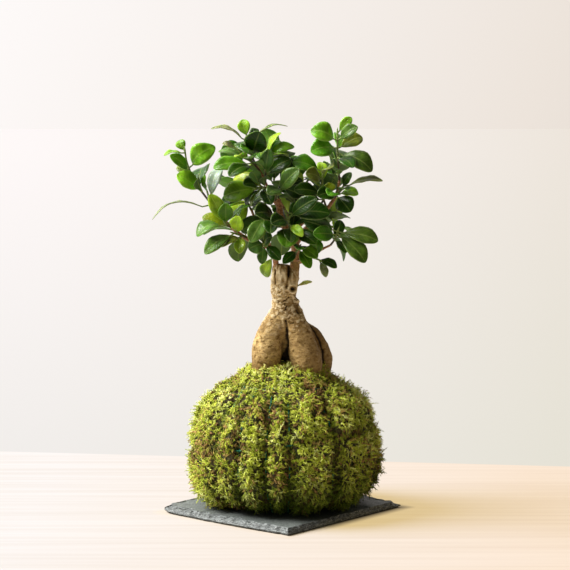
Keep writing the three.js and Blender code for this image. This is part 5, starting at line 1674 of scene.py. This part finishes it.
def placed_leaves():
    """Every leaf that finds room, listed ones first and then those that the rule puts round the twigs."""
    wood = [wood_points(fork["path"], fork["radii"]) for forks in LIMBS.values() for fork in forks]
    wood += [wood_points(s["twig"], (TWIG_RADIUS, TWIG_RADIUS), s["name"]) for s in SPRAYS]
    wood.append(wood_points(STEM_PROBE["path"], STEM_PROBE["radii"]))
    placed, probes = [], []

    def place(leaf, tone):
        """Places a leaf, swung aside where it has to be, or leaves it out."""
        first = leaf.tip
        length = np.linalg.norm(first - leaf.start)
        for swing in SWINGS:
            aimed = first + np.array([0.0, swing, 0.0])
            leaf.aim(leaf.start + unit(aimed - leaf.start) * length if swing else first)
            probe = Probe(leaf)
            if probe.clear_of_wood(wood) and all(probe.clear_of(other) for other in probes):
                leaf.tone = tone
                placed.append(leaf)
                probes.append(probe)
                return

    for spray in SPRAYS:
        curve = Curve(spray["twig"])
        for (share, x, y, z, width, face, *bow), tone in zip(spray.get("leaves", ()), spray.get("tones", "")):
            bend = bow[0] if bow else BLADE_BOW
            rows = WIDE_ROWS if width > WIDE_FROM or bend > BLADE_BOW else SMALL_ROWS
            tip = np.array([x, y, z], dtype=float)
            place(Leaf(spray["name"], curve.at(share), tip, width, face, bend, rows), tone)
    # The leaves of the solids' rule
    draw = seeded(LEAF_SEED)
    for spray in SPRAYS:
        curve = Curve(spray["twig"])
        behind = spray.get("behind", 0)
        count = spray.get("round", 0) + behind
        for i in range(count):
            step = (i if behind else i + 1) / count
            share = ROUND_FROM + (1 - ROUND_FROM) * step
            turn = math.radians(ROUND_TURN * i + ROUND_JITTER * draw())
            lean = math.radians(ROUND_LEAN * (END_LEAN if step == 1 else 1))
            start, direction = curve.at(share), leaning(curve.tangent(share), turn, lean)
            if behind:
                direction = unit(np.array([direction[0], abs(direction[1]) + ROUND_BACK, direction[2]]))
            length = ROUND_LENGTH[0] + (ROUND_LENGTH[1] - ROUND_LENGTH[0]) * draw()
            leaf = Leaf(spray["name"], start, start + direction * length, length * ROUND_WIDTH)
            leaf.fullness = ROUND_FULLNESS
            place(leaf, RULE_TONES[i % len(RULE_TONES)])
    # Small leaves inside the crown, which only the looks have
    draw = seeded(FILL_SEED)
    for spray in SPRAYS:
        curve = Curve(spray["twig"])
        for i in range(FILL_TRIES):
            share = FILL_PLACES[0] + FILL_PLACES[1] * draw()
            turn, lean = 2 * math.pi * draw(), math.radians(FILL_LEANS[0] + FILL_LEANS[1] * draw())
            start, direction = curve.at(share), leaning(curve.tangent(share), turn, lean)
            length = FILL_LENGTH[0] + (FILL_LENGTH[1] - FILL_LENGTH[0]) * draw()
            leaf = Leaf(spray["name"], start, start + direction * length, length * ROUND_WIDTH)
            middle = leaf.at(0.5, 0)
            aside, above = abs(middle[0] - LIMB_SEEN[0]), abs(middle[2] - LIMB_SEEN[1])
            before_limb = aside < LIMB_GAP[0] and above < LIMB_GAP[1] and middle[1] < 0
            inner = -44 < middle[0] < 50 and middle[2] > 243
            if inner and crown_share(middle) < FILL_WITHIN and not before_limb:
                place(leaf, RULE_TONES[i % len(RULE_TONES)])
    return placed


def crown_share(point):
    """How far out in the crown a point is, from 0 in its middle to 1."""
    return np.linalg.norm((point - CROWN_MIDDLE) / CROWN_REACH)


def blade(leaf, draw):
    """Points, faces, rim faces and places of one leaf blade: two skins joined round a thin margin."""
    shares = 0.5 - 0.5 * np.cos(np.pi * np.linspace(0.03, 1, LEAF_ROWS + 1))
    acrosses = np.linspace(-1, 1, LEAF_COLUMNS + 1)
    share, across = np.meshgrid(shares, acrosses, indexing="ij")
    half = leaf.width / 2 * leaf.fullness * np.maximum(np.sin(np.pi * share**LEAF_FULLEST), 0) ** LEAF_BLUNT
    half = np.maximum(half, np.where(share < 0.5, *LEAF_ENDS))
    reach = np.sqrt(across**2 + MIDRIB_ROUND) - math.sqrt(MIDRIB_ROUND)
    bend = leaf.bow * leaf.blade * 4 * share * (1 - share) + LEAF_FOLD * half * reach
    bend -= LEAF_ROLL * half * smoothstep(np.abs(across), 0.55, 1)
    phase = draw.uniform(0, 2 * np.pi, 2)[:, None, None]
    beat = np.sin(2 * np.pi * LEAF_WAVES * share + np.where(across < 0, phase[0], phase[1]))
    bend += LEAF_WAVE * across**2 * beat * np.sin(np.pi * share)
    bend -= LEAF_DROOP * smoothstep(share, 0.7, 1)
    centre = leaf.base + leaf.along * (leaf.blade * share)[..., None] + leaf.side * (half * across)[..., None]
    skins = [centre + leaf.upper * (bend + lift)[..., None] for lift in (LEAF_THICK / 2, -LEAF_THICK / 2)]
    points = np.concatenate([skin.reshape(-1, 3) for skin in skins])
    count, wide = (LEAF_ROWS + 1) * (LEAF_COLUMNS + 1), LEAF_COLUMNS + 1
    faces = []
    for row in range(LEAF_ROWS):
        for column in range(LEAF_COLUMNS):
            a = row * wide + column
            faces.append((a, a + 1, a + wide + 1, a + wide))
            faces.append((a + count, a + count + wide, a + count + wide + 1, a + count + 1))
    rim = list(range(LEAF_COLUMNS))
    rim += [row * wide + LEAF_COLUMNS for row in range(LEAF_ROWS)]
    rim += [LEAF_ROWS * wide + column for column in range(LEAF_COLUMNS, 0, -1)]
    rim += [row * wide for row in range(LEAF_ROWS, 0, -1)]
    rims = [(b, a, a + count, b + count) for a, b in zip(rim, rim[1:] + rim[:1])]
    place = np.stack([share, across, np.ones_like(share)], -1).reshape(-1, 3)
    return points, faces, rims, np.concatenate([place, place * [1, 1, -1]])


def stalk_of(leaf):
    """A leaf's stalk, which runs on under the blade as its midrib."""
    end = leaf.base + leaf.along * leaf.blade * STALK_SHARE
    runs = np.linspace(0, 1, STALK_RINGS)
    centres = leaf.start + (end - leaf.start) * runs[:, None]
    on_blade = np.clip((centres - leaf.base) @ leaf.along / leaf.blade, 0, 1)
    centres += leaf.upper * (leaf.bow * leaf.blade * 4 * on_blade * (1 - on_blade))[:, None]
    centres -= leaf.upper * 0.3 * smoothstep(on_blade, 0, 0.1)[:, None]
    return tube(centres, STALK_RADIUS - STALK_TAPER * runs, 6)


def build_leaves():
    draw = np.random.default_rng(LEAF_SEED)
    by_spray = {spray["name"]: [] for spray in SPRAYS}
    for leaf in placed_leaves():
        by_spray[leaf.spray].append(leaf)
    for name, start, tip, width, face, tone in SHOOTS:
        shoot = Leaf(name, np.array(start), np.array(tip), width, face)
        shoot.tone = tone
        by_spray[name].append(shoot)
    for spray in SPRAYS:
        name = spray["name"]
        parts, round_faces, wooden, green, tones, places = [], [], [], [], [], []

        def gather(points, faces, rims=(), greenness=0, tone=0, place=0, wood=False):
            """Adds a skin, its flat rim and the marks of its points to the piece."""
            parts.append((points, faces + list(rims)))
            round_faces.extend([True] * len(faces) + [False] * len(rims))
            wooden.extend([int(wood)] * (len(faces) + len(rims)))
            green.append(np.broadcast_to(greenness, len(points)))
            tones.append(np.broadcast_to(tone, (len(points), 4)))
            places.append(np.broadcast_to(place, (len(points), 3)))

        # The twig ends in a pointed bud
        curve = Curve(spray["twig"])
        count = max(6, int(curve.length() / 2))
        shares = np.arange(count + 1) / count
        centres = curve.even(count)
        bud = centres[-1] + unit(centres[-1] - centres[-2]) * np.array([[1.5], [3.5], [5.0]])
        radii = np.concatenate([TWIG_RADIUS * (1.05 - 0.25 * shares), [0.85, 0.55, 0.12]])
        shares = np.concatenate([shares, [1.2, 1.3, 1.4]])
        twig = tube(np.concatenate([centres, bud]), radii, TWIG_SIDES)
        gather(*twig, greenness=np.repeat(smoothstep(shares, 0.15, 1.1), TWIG_SIDES), wood=True)
        for leaf in by_spray[name]:
            gather(*stalk_of(leaf), greenness=0.85, wood=True)
            points, faces, rims, place = blade(leaf, draw)
            # Painted shade makes leaves deep in the crown darker, and reds vary a little more than greens and
            # blues
            depth = smoothstep(crown_share(leaf.at(0.5, 0)), 0.35, 0.85)
            shade = draw.uniform(0.75, 1.35) * (0.6 + 0.4 * depth)
            tone = np.array([shade * draw.uniform(0.9, 1.25), shade, shade, 1])
            gather(points, faces, rims, tone=np.array(linear(LEAF_TONES[leaf.tone])) * tone, place=place)
        piece = mesh_of(name.replace("spray", "leaves"), *joined(parts))
        mark(piece, "wood_green", "FLOAT", np.concatenate(green))
        mark(piece, "leaf_tone", "FLOAT_COLOR", np.concatenate(tones))
        mark(piece, "leaf_place", "FLOAT_VECTOR", np.concatenate(places))
        piece.data.polygons.foreach_set("use_smooth", round_faces)
        dress(piece, "leaf", [name], LEAF, WOOD)
        piece.data.polygons.foreach_set("material_index", wooden)


# Floor, lights and camera

# The room's tone from its dark side, on the right in front, to its bright side
ROOM_TONES = (
    (0.0, "#4f4b46"),
    (0.35, "#5b5751"),
    (0.48, "#8a847d"),
    (0.6, "#a09a93"),
    (0.833, "#ede4db"),
    (0.925, "#fffbfa"),
)


FLOOR_REACH = 15000
WINDOW_POWER = 8.2
WINDOW_SOFTNESS = 36  # degrees across
WINDOW_TONE = (1.0, 0.985, 0.95)
WINDOW_PLACE = (-0.70, 0.03, 0.74)
BRIGHT_SIDE = (-0.6, 0.75, 0.28)  # the way to the room's bright side
CAMERA_LENS = 122.5
CAMERA_PLACE = (0.0032, -1.701, 0.376)
CAMERA_TILT = 5.89  # degrees down


def build_floor():
    ends = ((-1, -1), (1, -1), (1, 1), (-1, 1))
    floor = mesh_of("floor", [[x * FLOOR_REACH, y * FLOOR_REACH, 0] for x, y in ends], [(0, 1, 2, 3)])
    floor.data.materials.append(FLOOR)


def build_lights():
    """One broad soft light from the left, in a white room that is brighter behind and on the left."""
    light = bpy.data.lights.new("window", "SUN")
    light.energy = WINDOW_POWER
    light.angle = math.radians(WINDOW_SOFTNESS)
    light.color = WINDOW_TONE
    window = stand("window", light)
    window.location = WINDOW_PLACE
    window.rotation_euler = (-window.location).to_track_quat("-Z", "Y").to_euler()
    room = bpy.data.worlds.new("room")
    room.use_nodes = True
    tree = room.node_tree
    way = add(tree, "ShaderNodeTexCoord", out="Generated")
    facing = add(tree, STRETCH, (way, BRIGHT_SIDE), 1, operation="DOT_PRODUCT")
    glow = add(tree, "ShaderNodeValToRGB", {"Fac": add(tree, RANGE, (facing, -1, 1))})
    bands = glow.node.color_ramp.elements
    while len(bands) < len(ROOM_TONES):
        bands.new(0.5)
    for band, (position, code) in zip(bands, ROOM_TONES):
        band.position = position
        band.color = linear(code)
    tree.links.new(glow, tree.nodes["Background"].inputs["Color"])
    bpy.context.scene.world = room


def build_camera():
    camera = bpy.data.cameras.new("camera")
    camera.lens = CAMERA_LENS
    camera.sensor_width = 36
    camera.clip_end = 100
    tripod = stand("camera", camera)
    tripod.location = CAMERA_PLACE
    tripod.rotation_euler = (math.radians(90 - CAMERA_TILT), 0, 0)
    bpy.context.scene.camera = tripod
    bpy.context.scene.view_settings.view_transform = "Standard"


build_slate()
build_bed()
build_fronds()
build_thread()
build_trunk()
build_limbs()
build_leaves()
soil = bpy.data.objects["soil_core"].data.materials
soil.clear()
soil.append(SOIL)
build_floor()
build_lights()
build_camera()
